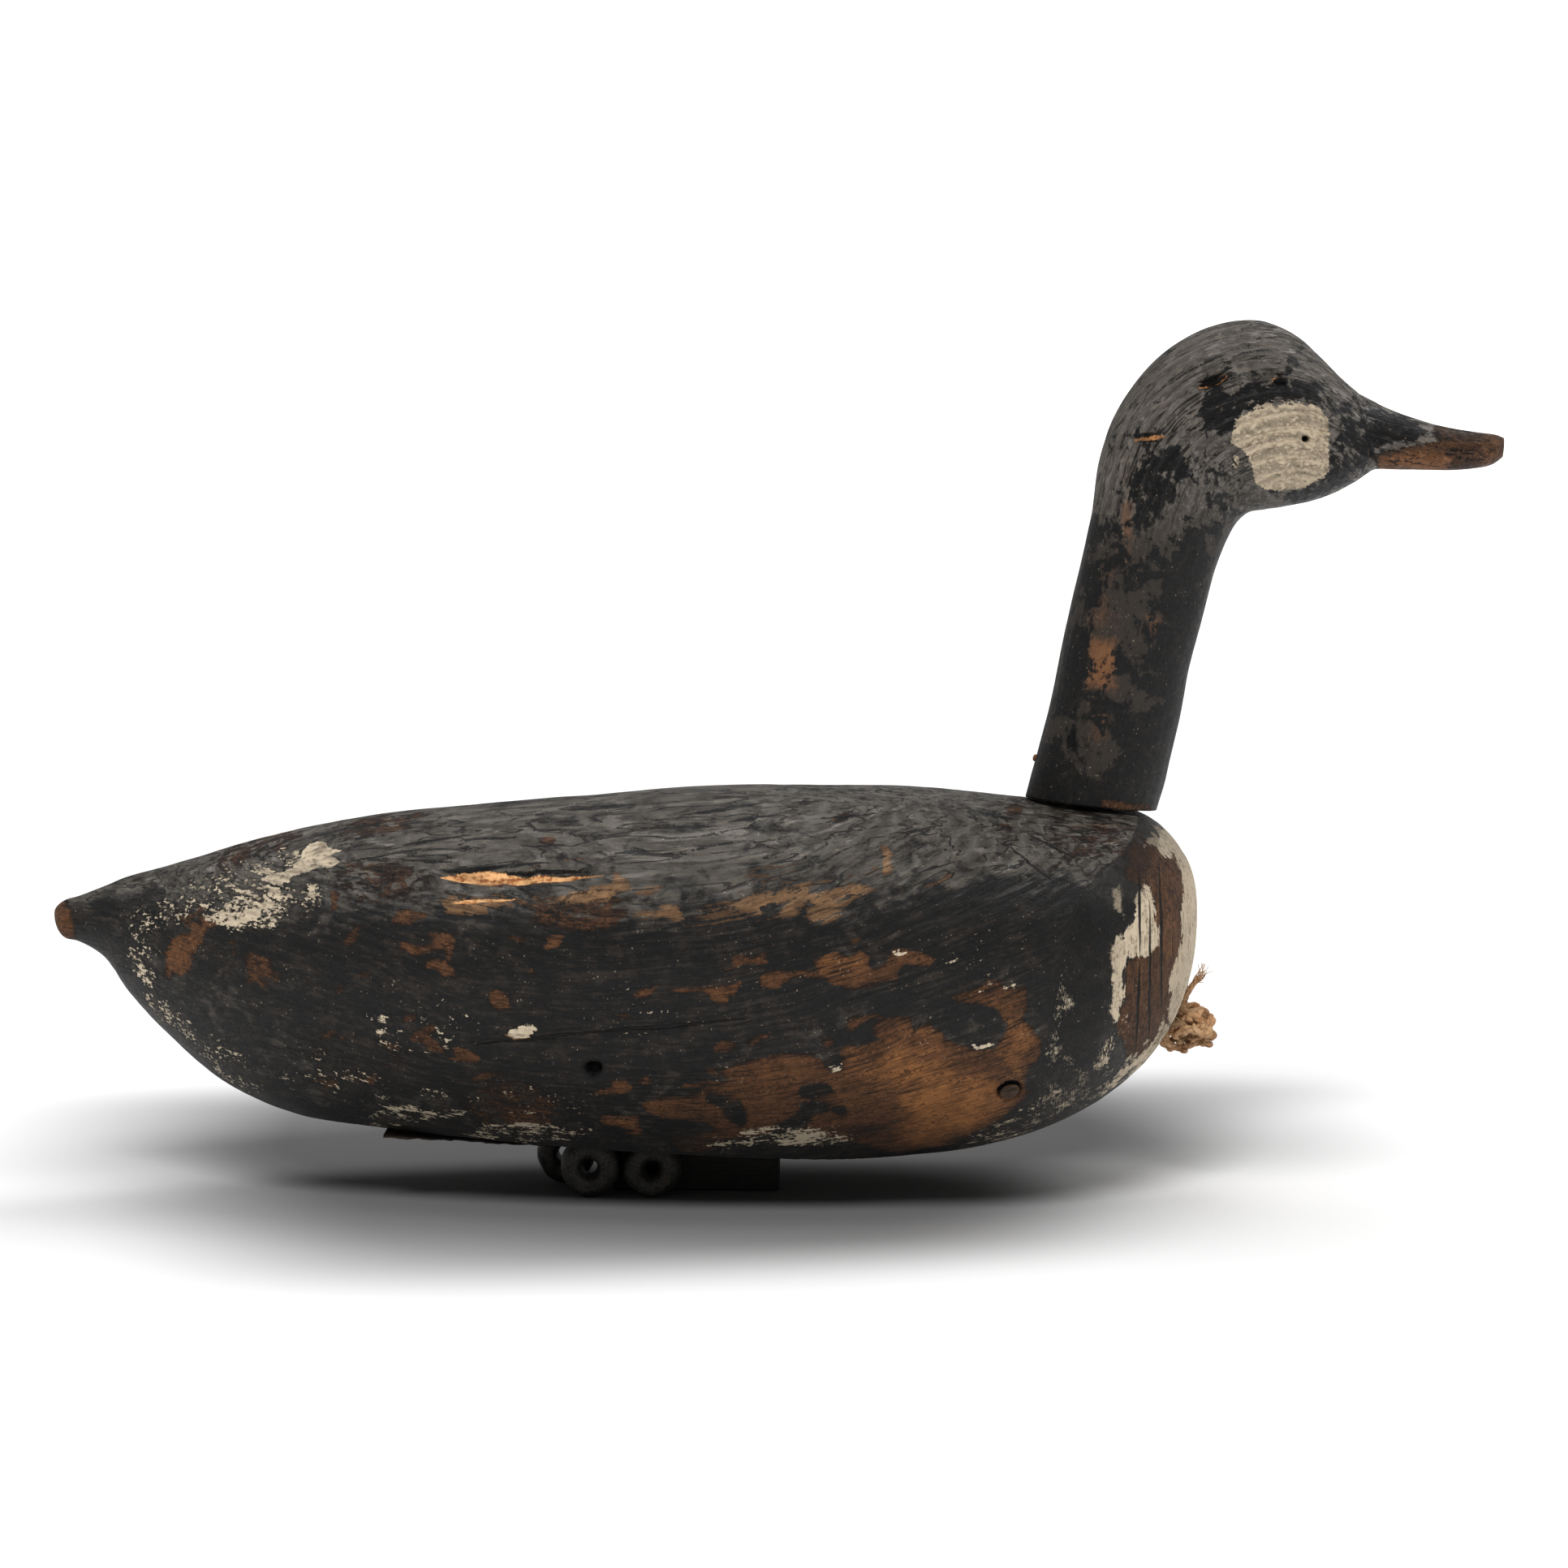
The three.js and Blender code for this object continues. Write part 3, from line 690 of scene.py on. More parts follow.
@dataclass(frozen=True)
class WornPaint:
    """Old black and white paint that has worn through to brown wood along the grain.

    The points of the piece store how much of each layer there is: deep for sound black paint,
    worn for brown wood, tan for pale wood, white, and an amount for upper faces, which are
    weathered and also painted lighter, as painted top light and painted sheen. The mouths of
    holes and a hollow are painted near-black as painted shade. Noise decides the ragged edges.
    They also store the grain's own coordinates, along it, out from the pith and round it, and
    as seen the place in the picture, with 1 on the near side.
    """

    name: str
    black: Colour = paint_colour(12, 11.5, 11)
    scuffed: Colour = paint_colour(38, 32, 27)
    thin_dark: Colour = paint_colour(60, 56, 51)
    # pale tone of thin paint, also painted top light and painted sheen on upper faces
    thin_pale_and_sheen: Colour = paint_colour(112, 106, 97)
    wood_dark: Colour = paint_colour(30, 21, 15)
    wood_mid: Colour = paint_colour(94, 62, 39)
    wood_light: Colour = paint_colour(166, 110, 62)
    tan_dark: Colour = paint_colour(76, 55, 38)
    tan_light: Colour = paint_colour(164, 125, 87)
    fresh_dark: Colour = paint_colour(150, 88, 46)
    fresh_light: Colour = paint_colour(244, 188, 130)
    white: Colour = paint_colour(200, 184, 159)
    white_dirt: Colour = paint_colour(108, 93, 76)
    # near-black of cracks, also the painted shade in the mouths of holes and in a hollow
    crack: Colour = paint_colour(9, 8, 7)
    ring: float = 3.4  # between growth rings
    relief: float = 1.0
    scuff: float = 0.14  # how much is worn everywhere
    softness: float = 0.26  # of the edge between sound and thin paint
    ring_wear_and_glint: float = 1.0  # how much lighter the hard rings are, partly wear and partly a painted glint
    along: float = 0.06  # scale of the noise along the grain; it is 0.9 across
    contrast: float = 0.62  # of the thin paint's light and dark
    cracks: tuple[Sliver, ...] = ()
    splits: tuple[Sliver, ...] = ()
    hole_shades: tuple[HoleShade, ...] = ()

    def material(self) -> bpy.types.Material:
        """Build the material.

        Each layer shows where its stored amount is above a noise of streaks, flakes and specks,
        so it is solid where the amount is 1 and breaks up into flecks as the amount falls.

        Returns:
            The material.
        """
        g = Graph(self.name)
        at = g.place()
        grain = g.stored("grain", vector=True)
        # The amount for upper faces is weathering, and also painted top light and painted sheen.
        grey, warm = g.stored("grey"), g.stored("warm")
        narrow = g.place(grain, (self.along, 0.9, 0.9))
        wide = g.place(grain, (self.along / 2, 0.34, 0.34))
        slow = g.place(grain, (0.007, 0.06, 0.06))
        fine = g.cloud(narrow, 1.0, detail=5.0, rough=0.65, gain=3.0)
        streak = g.cloud(wide, 1.0, detail=7.0, rough=0.68, warp=0.2, gain=3.4)
        flake = g.cloud(at, 0.1, detail=8.0, rough=0.66, warp=0.5, gain=3.4)
        speck = g.cloud(at, 0.55, detail=4.0, rough=0.62, gain=3.2)
        blotch = g.cloud(at, 0.035, detail=3.0, gain=2.6)
        _, radius, _ = g.split(grain)
        sway = g.cloud(slow, 1.0, detail=3.0, rough=0.55, gain=2.6)
        ridge = ((radius / self.ring + sway).part() - 0.5).distance() * 2.0
        raised = ridge * (streak * 0.8 + 0.2).step(0.2, 0.8)

        chips = streak * 0.36 + flake * 0.26 + fine * 0.24 + speck * 0.14
        edge = g.stored("worn") + grey * 0.1 + raised * grey * 0.14 + self.scuff - chips
        worn = edge.step(-0.03, 0.03)
        pale = g.stored("tan") + raised * grey * 0.2 - streak * 0.45 - fine * 0.55 - speck * 0.14 + 0.02
        tan = pale.step(-0.09, 0.07) * 0.92
        sound = g.stored("deep") - flake * 0.5 - streak * 0.25 - blotch * 0.25
        sound = sound.step(-self.softness, self.softness)
        chalk = flake * 0.24 + speck * 0.24 + fine * 0.28 + streak * 0.24
        white = (g.stored("white") - chalk).step(-0.03, 0.03)
        dust = g.cloud(at, 0.9, detail=2.0, rough=0.5, gain=2.6) * 0.7 + flake * 0.15 + streak * 0.15
        dust = dust.step(0.91, 0.95)

        x, y, near = g.split(g.stored("seen", vector=True))
        y = y + (streak - 0.5) * 3.0 + (speck - 0.5) * 1.2
        nothing = near * 0.0
        fresh = g.most(nothing, *(sliver.mask(x, y) for sliver in self.splits)) * near
        dark = g.most(nothing, *(sliver.mask(x, y) for sliver in self.cracks)) * near
        # painted shade in the mouths of holes
        bore = g.most(nothing, *(hole.mask(x, y) for hole in self.hole_shades)) * near
        bands = g.cloud(g.place(grain, (0.006, 0.2, 0.2), (7.0, 3.0, 5.0)), 1.0, detail=2.0, rough=0.55)
        hair = (bands - 0.5).distance().step(0.05, 0.02) * (speck * 0.4 + flake * 0.6).step(0.42, 0.5)
        hair = hair * (grey + 0.12) * (1.0 - white * 0.7) * (1.0 - fresh)

        # Raised rings are painted lighter, partly wear and partly a painted glint. Upper faces take the paler
        # thin paint: weathering, and also painted top light and painted sheen.
        stain = fine * 0.34 + streak * 0.12 + blotch * 0.16 + speck * 0.14 + raised * 0.42 * self.ring_wear_and_glint
        shade = (stain - 0.1).step(0.0, 0.95) * self.contrast + 0.36 * (1 - self.contrast)
        thin = g.mix(shade * (grey * 0.95 + 0.05), self.thin_dark, self.thin_pale_and_sheen)
        thin = g.mix((warm + (fine - 0.5) * 0.4).step(0.15, 1.2) * 0.8, thin, self.wood_light)
        black = g.mix((flake * 0.35 + streak * 0.35 + fine * 0.3).step(0.42, 0.8), self.black, self.scuffed)
        colour = g.mix(sound, thin, black)
        depth = (edge * 0.7 + (fine - 0.5) * 0.8 + (streak - 0.5) * 0.5).step(-0.15, 0.55)
        wood = g.mix(depth, self.wood_dark, self.wood_mid)
        glow = (warm * 0.8 + (blotch - 0.5) * 0.5 + (fine - 0.5) * 0.5).step(0.1, 1.0)
        wood = g.mix(glow, wood, self.wood_light)
        wood = g.mix((fine * 0.7 + speck * 0.3).step(0.66, 0.76) * 0.8, wood, self.wood_dark)
        colour = g.mix(worn, colour, wood)
        light = (fine * 0.7 + pale * 0.6 + streak * 0.4).step(0.25, 1.15)
        colour = g.mix(tan, colour, g.mix(light, self.tan_dark, self.tan_light))
        grime = (speck * 0.3 + flake * 0.25 + fine * 0.45).step(0.4, 0.9)
        colour = g.mix(g.most(white, dust * 0.5), colour, g.mix(grime, self.white, self.white_dirt))
        fibre = (fine * 0.6 + speck * 0.4).step(0.2, 0.7)
        colour = g.mix(fresh, colour, g.mix(fibre, self.fresh_dark, self.fresh_light))
        # Cracks and hair lines are near-black; the mouths of holes and the stored hollow get the same
        # near-black as painted shade.
        colour = g.mix(g.most(hair * 0.8, dark, bore, g.stored("hollow")), colour, self.crack)

        bare = g.most(worn, tan)
        height = raised * (grey * 2.0 + 0.12) + fine * (bare * 0.22 + 0.12) + speck * 0.12
        height = height + (1.0 - bare) * 0.14 + sound * 0.14 + white * 0.25
        height = height - g.most(hair, dark, bore) * 0.9 - fresh * 0.5
        rough = 0.6 - grey * 0.1 - raised * grey * 0.22 + bare * 0.2 + white * 0.16
        rough = rough + fresh * 0.2 + (speck - 0.5) * 0.14
        return g.finish(height, self.relief, Base_Color=colour, Roughness=rough, Specular_IOR_Level=0.38)


@dataclass(frozen=True)
class OldWood:
    """Bare wood gone dark, with long fibres."""

    name: str = "dark_wood"
    dark: Colour = paint_colour(34, 26, 20)
    light: Colour = paint_colour(88, 66, 48)

    def material(self) -> bpy.types.Material:
        """Build the material from noise stretched along X.

        Returns:
            The material.
        """
        g = Graph(self.name)
        fibre = g.cloud(g.place(scale=(60, 700, 700)), 1.0, detail=6.0, rough=0.7)
        blotch = g.cloud(g.place(), 0.12, detail=4.0)
        colour = g.mix((fibre * 0.6 + blotch * 0.4).step(0.25, 0.85), self.dark, self.light)
        return g.finish(fibre + blotch * 0.5, 0.35, Base_Color=colour, Roughness=0.8 - fibre * 0.1)


@dataclass(frozen=True)
class OldMetal:
    """Cast or forged metal with a dull skin and pits."""

    name: str
    skin: Colour
    bloom: Colour
    rust: Colour
    rust_share: float = 0.3

    def material(self) -> bpy.types.Material:
        """Build the material from three sizes of noise.

        Returns:
            The material.
        """
        g = Graph(self.name)
        at = g.place()
        broad, fine = g.cloud(at, 0.12, rough=0.65), g.cloud(at, 0.9, rough=0.7)
        colour = g.mix((broad * 0.5 + fine * 0.5).step(0.3, 0.75), self.skin, self.bloom)
        stain = g.cloud(at, 0.2, detail=6.0, rough=0.7) * 0.7 + fine * 0.3
        stain = stain.step(1.0 - self.rust_share, 1.05 - self.rust_share)
        colour = g.mix(stain, colour, self.rust)
        rough = 0.5 + broad * 0.15 + stain * 0.25
        metal = 0.25 - stain * 0.25
        return g.finish(
            broad * 0.6 + fine * 0.4, 0.5, Base_Color=colour, Roughness=rough, Metallic=metal
        )


@dataclass(frozen=True)
class Hemp:
    """Twisted plant fibre, paler on top of the strands, with painted shade between them."""

    name: str = "hemp"
    pale: Colour = paint_colour(246, 208, 162)
    brown: Colour = paint_colour(160, 108, 66)
    # painted shade between the strands and on some loose fibres
    strand_shade_colour: Colour = paint_colour(62, 38, 20)

    def material(self) -> bpy.types.Material:
        """Build the material; the depth between strands, stored on the points, is painted shade.

        Returns:
            The material.
        """
        g = Graph(self.name)
        at = g.place()
        fibre, stain = g.cloud(at, 2.2, rough=0.75), g.cloud(at, 0.12, detail=4.0)
        colour = g.mix((fibre * 0.6 + stain * 0.4).step(0.25, 0.8), self.brown, self.pale)
        # painted shade between the strands, and at random on the loose fibres
        colour = g.mix(g.stored("furrow").step(0.1, 1.0) * 0.85, colour, self.strand_shade_colour)
        return g.finish(fibre, 0.35, Base_Color=colour, Roughness=0.92)


# ---- worn spots, in the picture from the near side ----

RUMP_WHITE = (
    Patch((368, 1060, 373, 1048, 382, 1039, 397, 1035, 400, 1044, 419, 1046, 411, 1054, 420, 1060,
           414, 1067, 398, 1068, 380, 1076, 366, 1080, 361, 1088, 344, 1090, 322, 1085, 334, 1079,
           352, 1077, 364, 1070), 1.0, 4),
    Patch((288, 1134, 296, 1121, 318, 1117, 323, 1124, 315, 1134, 300, 1139), 0.95, 4),
    Patch((314, 1112, 336, 1107, 340, 1116, 322, 1121), 0.8, 4),
    Patch((244, 1128, 262, 1112, 300, 1092, 352, 1088, 372, 1098, 366, 1128, 340, 1147, 300, 1152,
           262, 1142), 0.52, 12),
    Patch((190, 1112, 225, 1086, 266, 1068, 318, 1052, 370, 1040, 372, 1092, 300, 1110, 240, 1128,
           204, 1152), 0.43, 14),
    Patch((372, 1090, 398, 1084, 402, 1108, 388, 1124, 366, 1138, 362, 1112), 0.42, 9),
    Patch((140, 1122, 176, 1104, 202, 1128, 200, 1150, 186, 1172, 160, 1160), 0.36, 10),
    Patch((156, 1160, 196, 1166, 200, 1198, 192, 1220, 168, 1208), 0.4, 9),
    Patch((186, 1218, 206, 1234, 232, 1256, 248, 1276, 230, 1290, 196, 1260, 170, 1225), 0.44, 9),
)
BREAST_WHITE = (
    Patch((1436, 1014, 1500, 1008, 1510, 1250, 1444, 1262, 1440, 1245, 1446, 1209, 1449, 1188,
           1453, 1162, 1454, 1139, 1460, 1119, 1459, 1092, 1453, 1072, 1446, 1055, 1432, 1046,
           1410, 1040, 1414, 1030), 0.95, 6),
    Patch((1409, 1040, 1424, 1026, 1440, 1020, 1450, 1040, 1436, 1048), 0.8, 5),
    Patch((1411, 1090, 1417, 1098, 1421, 1120, 1424, 1141, 1423, 1162, 1416, 1177, 1402, 1178,
           1386, 1181, 1381, 1194, 1384, 1212, 1384, 1226, 1379, 1245, 1373, 1262, 1366, 1240,
           1370, 1213, 1366, 1188, 1368, 1170, 1380, 1158, 1392, 1138, 1402, 1120, 1398, 1106,
           1406, 1100), 0.9, 8),
    Patch((1374, 1086, 1384, 1084, 1388, 1100, 1384, 1126, 1374, 1128, 1372, 1104), 0.62, 6),
    Patch((1372, 1260, 1390, 1246, 1402, 1250, 1388, 1290, 1372, 1300), 0.3, 5),
    Patch((1378, 1318, 1390, 1306, 1412, 1290, 1436, 1254, 1448, 1270, 1424, 1304, 1392, 1330,
           1352, 1352, 1348, 1340), 0.66, 8),
    Patch((1344, 1308, 1358, 1280, 1372, 1268, 1378, 1290, 1366, 1320, 1350, 1328), 0.44, 8),
    Patch((1322, 1306, 1346, 1318, 1340, 1346, 1326, 1340), 0.52, 7),
    Patch((1288, 1268, 1306, 1276, 1330, 1310, 1312, 1330, 1292, 1300), 0.36, 10),
    Patch((1302, 1196, 1312, 1200, 1320, 1226, 1328, 1240, 1318, 1252, 1306, 1236), 0.36, 8),
    Patch((1310, 1226, 1322, 1228, 1326, 1244, 1314, 1250), 0.56, 6),
    Patch((1290, 1330, 1340, 1340, 1380, 1330, 1350, 1362, 1280, 1384, 1240, 1390), 0.42, 12),
    Streak((1160, 1330, 1370, 1412), 0.4, 20),
)
EDGE_WHITE = (
    Patch((617, 1275, 632, 1269, 650, 1263, 661, 1268, 652, 1277, 632, 1282), 0.9, 3),
    Patch((620, 1270, 650, 1258, 664, 1266, 640, 1270), 0.5, 4),
    Patch((454, 1252, 470, 1248, 480, 1254, 464, 1260), 0.5, 4),
    Patch((452, 1268, 466, 1266, 476, 1276, 462, 1282), 0.6, 4),
    Patch((528, 1232, 546, 1226, 552, 1234, 540, 1238), 0.5, 4),
    Patch((540, 1268, 556, 1264, 560, 1274, 546, 1280), 0.5, 4),
    Patch((1188, 1288, 1228, 1283, 1232, 1292, 1200, 1298), 0.52, 4),
    Patch((1098, 1170, 1130, 1166, 1136, 1178, 1106, 1182), 0.48, 4),
    Patch((1226, 1208, 1256, 1206, 1256, 1218, 1230, 1220), 0.46, 4),
    Patch((1020, 1310, 1040, 1308, 1036, 1320, 1022, 1318), 0.6, 4),
    Streak((620, 672, 1380, 1392), 0.52),
    Streak((470, 520, 1358, 1372), 0.5),
    Streak((500, 584, 1364, 1382), 0.46, 4),
    Streak((510, 560, 1336, 1364), 0.42, -10),
    Streak((570, 600, 1348, 1364), 0.42),
    Streak((440, 520, 1362, 1392), 0.42),
    Streak((560, 740, 1380, 1412), 0.42, 2),
    Streak((900, 1070, 1386, 1416), 0.5, -2),
    Streak((940, 1060, 1400, 1412), 0.55),
    Streak((860, 940, 1396, 1420), 0.42),
    Streak((300, 520, 1290, 1370), 0.29, -14),
    Streak((400, 620, 1230, 1310), 0.27),
    Streak((560, 780, 1330, 1390), 0.28),
    Streak((700, 900, 1190, 1320), 0.22),
    Streak((1130, 1290, 1120, 1250), 0.22),
    Streak((230, 330, 1280, 1345), 0.36, -32),
    Streak((1290, 1330, 1186, 1276), 0.3, 80),
)
BREAST_BARE = (
    Patch((1388, 1050, 1410, 1034, 1440, 1036, 1452, 1055, 1464, 1072, 1468, 1092, 1468, 1119,
           1464, 1139, 1460, 1188, 1452, 1235, 1440, 1290, 1392, 1306, 1374, 1262, 1384, 1226,
           1383, 1190, 1404, 1177, 1422, 1162, 1419, 1136, 1418, 1100, 1404, 1092, 1390, 1080), 0.76, 4),
    Patch((1275, 1012, 1320, 998, 1395, 1003, 1400, 1040, 1386, 1060, 1386, 1110, 1340, 1092,
           1290, 1045), 0.16, 16),
)
TAIL_BARE = (
    Patch((50, 1100, 80, 1106, 88, 1120, 91, 1140, 90, 1158, 55, 1162), 0.9, 4),
    Patch((202, 1176, 206, 1162, 224, 1152, 236, 1140, 262, 1130, 268, 1140, 254, 1151, 250, 1162,
           238, 1171, 234, 1197, 216, 1205, 203, 1201), 0.86, 5),
    Patch((214, 1130, 230, 1121, 252, 1118, 246, 1132, 226, 1138), 0.6, 6),
    Patch((302, 1174, 326, 1176, 338, 1184, 336, 1198, 350, 1205, 344, 1224, 322, 1214, 304, 1212), 0.5, 6),
    Patch((284, 1158, 292, 1160, 290, 1182, 284, 1176), 0.5, 4),
)
SIDE_WORN = (
    Patch((790, 1358, 812, 1352, 850, 1350, 872, 1342, 893, 1334, 888, 1322, 902, 1312, 930, 1303,
           975, 1298, 1010, 1300, 1018, 1312, 1034, 1318, 1040, 1305, 1027, 1296, 1043, 1289,
           1068, 1286, 1090, 1280, 1079, 1270, 1080, 1259, 1092, 1254, 1122, 1251, 1131, 1260,
           1128, 1274, 1150, 1261, 1162, 1271, 1172, 1284, 1192, 1293, 1212, 1296, 1226, 1290,
           1238, 1264, 1254, 1257, 1275, 1268, 1285, 1282, 1288, 1297, 1279, 1312, 1268, 1326,
           1262, 1346, 1250, 1364, 1236, 1376, 1212, 1390, 1185, 1402, 1150, 1411, 1110, 1420,
           1078, 1418, 1050, 1408, 1010, 1404, 960, 1400, 900, 1404, 858, 1408, 850, 1398,
           880, 1392, 866, 1384, 830, 1380, 806, 1376), 0.8, 8),
    Patch((1176, 1230, 1186, 1223, 1203, 1220, 1206, 1208, 1222, 1203, 1240, 1212, 1263, 1211,
           1266, 1235, 1262, 1262, 1248, 1268, 1228, 1262, 1226, 1246, 1204, 1239, 1184, 1237), 0.64, 6),
    Patch((740, 1376, 786, 1377, 789, 1390, 784, 1401, 768, 1398, 762, 1389, 742, 1388), 0.72, 5),
    Patch((757, 1331, 775, 1328, 783, 1338, 776, 1346, 752, 1348, 728, 1352, 740, 1345, 758, 1340), 0.72, 4),
    Patch((785, 1330, 800, 1322, 798, 1334, 786, 1336), 0.66, 4),
    Patch((825, 1338, 845, 1334, 882, 1332, 880, 1338, 840, 1341), 0.7, 4),
    Patch((870, 1318, 884, 1312, 888, 1322, 874, 1326), 0.7, 4),
    Patch((880, 1290, 892, 1285, 906, 1286, 912, 1292, 896, 1298, 882, 1297), 0.74, 4),
    Patch((915, 1287, 932, 1279, 950, 1272, 944, 1280, 926, 1290), 0.66, 4),
    Patch((1006, 1284, 1020, 1276, 1028, 1285, 1018, 1292), 0.72, 4),
    Patch((1037, 1262, 1042, 1252, 1060, 1250, 1072, 1246, 1087, 1248, 1062, 1258, 1046, 1269), 0.7, 4),
    Patch((940, 1206, 946, 1200, 985, 1197, 1005, 1195, 1003, 1182, 1016, 1178, 1028, 1171,
           1050, 1176, 1066, 1172, 1073, 1180, 1071, 1190, 1082, 1192, 1096, 1182, 1104, 1170,
           1120, 1167, 1136, 1172, 1151, 1180, 1146, 1189, 1120, 1186, 1108, 1191, 1105, 1205,
           1085, 1210, 1066, 1214, 1040, 1217, 1020, 1214, 1012, 1204, 990, 1203, 972, 1210,
           962, 1221, 945, 1219), 0.84, 5),
    Patch((900, 1180, 908, 1176, 926, 1180, 946, 1174, 946, 1187, 918, 1190, 898, 1197, 884, 1197,
           904, 1188), 0.76, 4),
    Patch((828, 1221, 838, 1217, 872, 1214, 896, 1212, 902, 1222, 904, 1236, 890, 1240, 878, 1229,
           868, 1222, 840, 1223), 0.84, 4),
    Patch((898, 1212, 920, 1207, 918, 1215, 908, 1230, 902, 1226), 0.7, 4),
    Patch((784, 1226, 798, 1221, 817, 1217, 812, 1227, 798, 1232, 786, 1230), 0.82, 4),
    Patch((759, 1252, 776, 1251, 778, 1257, 764, 1257), 0.66, 4),
    Patch((484, 1132, 490, 1123, 506, 1121, 524, 1125, 522, 1132, 502, 1137, 486, 1138), 0.7, 5),
    Patch((520, 1148, 545, 1148, 554, 1153, 553, 1184, 546, 1187, 543, 1170, 530, 1171, 517, 1177,
           502, 1177, 493, 1169, 494, 1159, 508, 1164, 524, 1162, 523, 1154), 0.72, 5),
    Patch((519, 1186, 528, 1182, 544, 1183, 551, 1191, 561, 1194, 560, 1203, 545, 1205, 535, 1198,
           522, 1194), 0.76, 4),
    Patch((622, 1152, 651, 1153, 646, 1160, 630, 1158), 0.62, 5),
    Patch((672, 1152, 697, 1150, 692, 1158, 690, 1166, 668, 1168, 676, 1158), 0.84, 4),
    Patch((600, 1220, 608, 1216, 622, 1221, 626, 1234, 631, 1243, 616, 1245, 602, 1238, 606, 1228), 0.7, 5),
    Patch((605, 1264, 632, 1261, 630, 1267, 608, 1268), 0.66, 4),
    Patch((493, 1254, 500, 1248, 513, 1249, 514, 1258, 500, 1261), 0.72, 4),
    Patch((504, 1278, 522, 1266, 540, 1264, 542, 1272, 536, 1277, 546, 1290, 546, 1299, 524, 1297,
           524, 1284, 508, 1283), 0.72, 5),
    Patch((556, 1295, 562, 1291, 580, 1293, 594, 1301, 590, 1308, 570, 1310, 538, 1309, 556, 1304), 0.8, 4),
    Patch((580, 1331, 598, 1324, 622, 1320, 612, 1330, 600, 1336, 586, 1334), 0.76, 4),
    Patch((382, 1330, 412, 1332, 414, 1340, 404, 1348, 396, 1338), 0.6, 5),
    Patch((416, 1276, 430, 1270, 436, 1276, 420, 1282), 0.62, 4),
    Patch((396, 1264, 404, 1264, 402, 1278, 396, 1276), 0.6, 4),
    Patch((450, 1326, 466, 1324, 464, 1338, 452, 1336), 0.6, 4),
    Patch((415, 1164, 430, 1152, 436, 1140, 446, 1142, 440, 1154, 424, 1166), 0.62, 5),
    Patch((404, 1100, 412, 1100, 412, 1120, 404, 1124), 0.58, 5),
    Patch((436, 1200, 450, 1196, 452, 1202, 440, 1206), 0.58, 4),
    Patch((410, 1222, 420, 1212, 420, 1220, 412, 1226), 0.58, 4),
    Patch((645, 1195, 656, 1190, 662, 1196, 650, 1200), 0.62, 4),
    Patch((728, 1194, 736, 1196, 748, 1206, 738, 1206), 0.58, 4),
    Patch((1048, 1160, 1056, 1154, 1068, 1152, 1062, 1163, 1050, 1165), 0.66, 4),
    Patch((660, 1038, 672, 1030, 690, 1033, 680, 1040), 0.6, 5),
    Patch((1010, 1012, 1026, 1006, 1036, 999, 1048, 998, 1046, 1010, 1030, 1012), 0.39, 6),
    Patch((1236, 990, 1258, 984, 1262, 998, 1242, 1002), 0.42, 8),
    Patch((1226, 1014, 1250, 1010, 1248, 1022, 1228, 1022), 0.4, 8),
    Streak((400, 530, 1056, 1118), 0.26, 0),
    Streak((410, 524, 1006, 1026), 0.3, 12),
    Streak((250, 380, 1020, 1062), 0.29, 18),
    Streak((690, 780, 1118, 1146), 0.5, 4),
    Streak((560, 700, 1330, 1400), 0.4, 0),
    Streak((820, 900, 1380, 1424), 0.5, 0),
    Streak((640, 780, 1096, 1146), 0.42, 4),
    Streak((860, 960, 1300, 1400), 0.45, 0),
    Streak((300, 560, 1262, 1350), 0.27, -8),
)
SIDE_TAN = (
    Patch((541, 1127, 541, 1110, 556, 1103, 590, 1105, 611, 1102, 632, 1106, 632, 1113, 600, 1118,
           598, 1126, 572, 1129), 0.72, 6),
    Patch((632, 1116, 662, 1113, 700, 1108, 720, 1108, 700, 1114, 660, 1118), 0.68, 4),
    Patch((688, 1106, 700, 1096, 716, 1091, 744, 1088, 757, 1084, 755, 1077, 764, 1073, 772, 1080,
           779, 1092, 770, 1098, 752, 1108, 745, 1114, 710, 1115, 690, 1114), 0.74, 6),
    Patch((778, 1102, 782, 1090, 800, 1085, 815, 1090, 812, 1100, 795, 1106), 0.5, 6),
    Patch((774, 1121, 800, 1120, 815, 1113, 832, 1112, 837, 1124, 838, 1136, 822, 1139, 814, 1130,
           790, 1132, 776, 1129), 0.62, 5),
    Patch((878, 1115, 905, 1106, 920, 1100, 950, 1098, 985, 1088, 1001, 1083, 1001, 1097,
           1030, 1094, 1060, 1083, 1082, 1090, 1062, 1105, 1042, 1118, 1030, 1131, 1015, 1141,
           995, 1139, 990, 1128, 965, 1131, 944, 1130, 924, 1128, 904, 1121), 0.68, 7),
    Patch((1092, 1102, 1108, 1091, 1150, 1085, 1165, 1076, 1178, 1072, 1176, 1085, 1160, 1093,
           1130, 1098, 1104, 1108), 0.46, 6),
    Patch((1085, 1042, 1096, 1044, 1099, 1074, 1092, 1080, 1085, 1070), 0.74, 4),
    Patch((1068, 1060, 1110, 1046, 1112, 1060, 1072, 1080), 0.4, 7),
    Patch((700, 1061, 722, 1056, 746, 1053, 728, 1060, 706, 1064), 0.66, 4),
    Patch((640, 1074, 662, 1068, 690, 1066, 670, 1073), 0.6, 4),
    Patch((616, 1276, 632, 1274, 654, 1272, 648, 1280, 630, 1283), 0.85, 3),
    Patch((1100, 1172, 1124, 1168, 1136, 1176, 1110, 1184), 0.46, 4),
    Patch((1045, 1194, 1060, 1190, 1064, 1200, 1050, 1202), 0.46, 4),
    Patch((840, 1219, 880, 1215, 880, 1220, 842, 1222), 0.6, 4),
    Streak((520, 700, 1094, 1124), 0.42, 2),
    Streak((820, 1100, 1088, 1134), 0.44, 14),
    Streak((880, 1000, 1060, 1100), 0.36, 16),
)
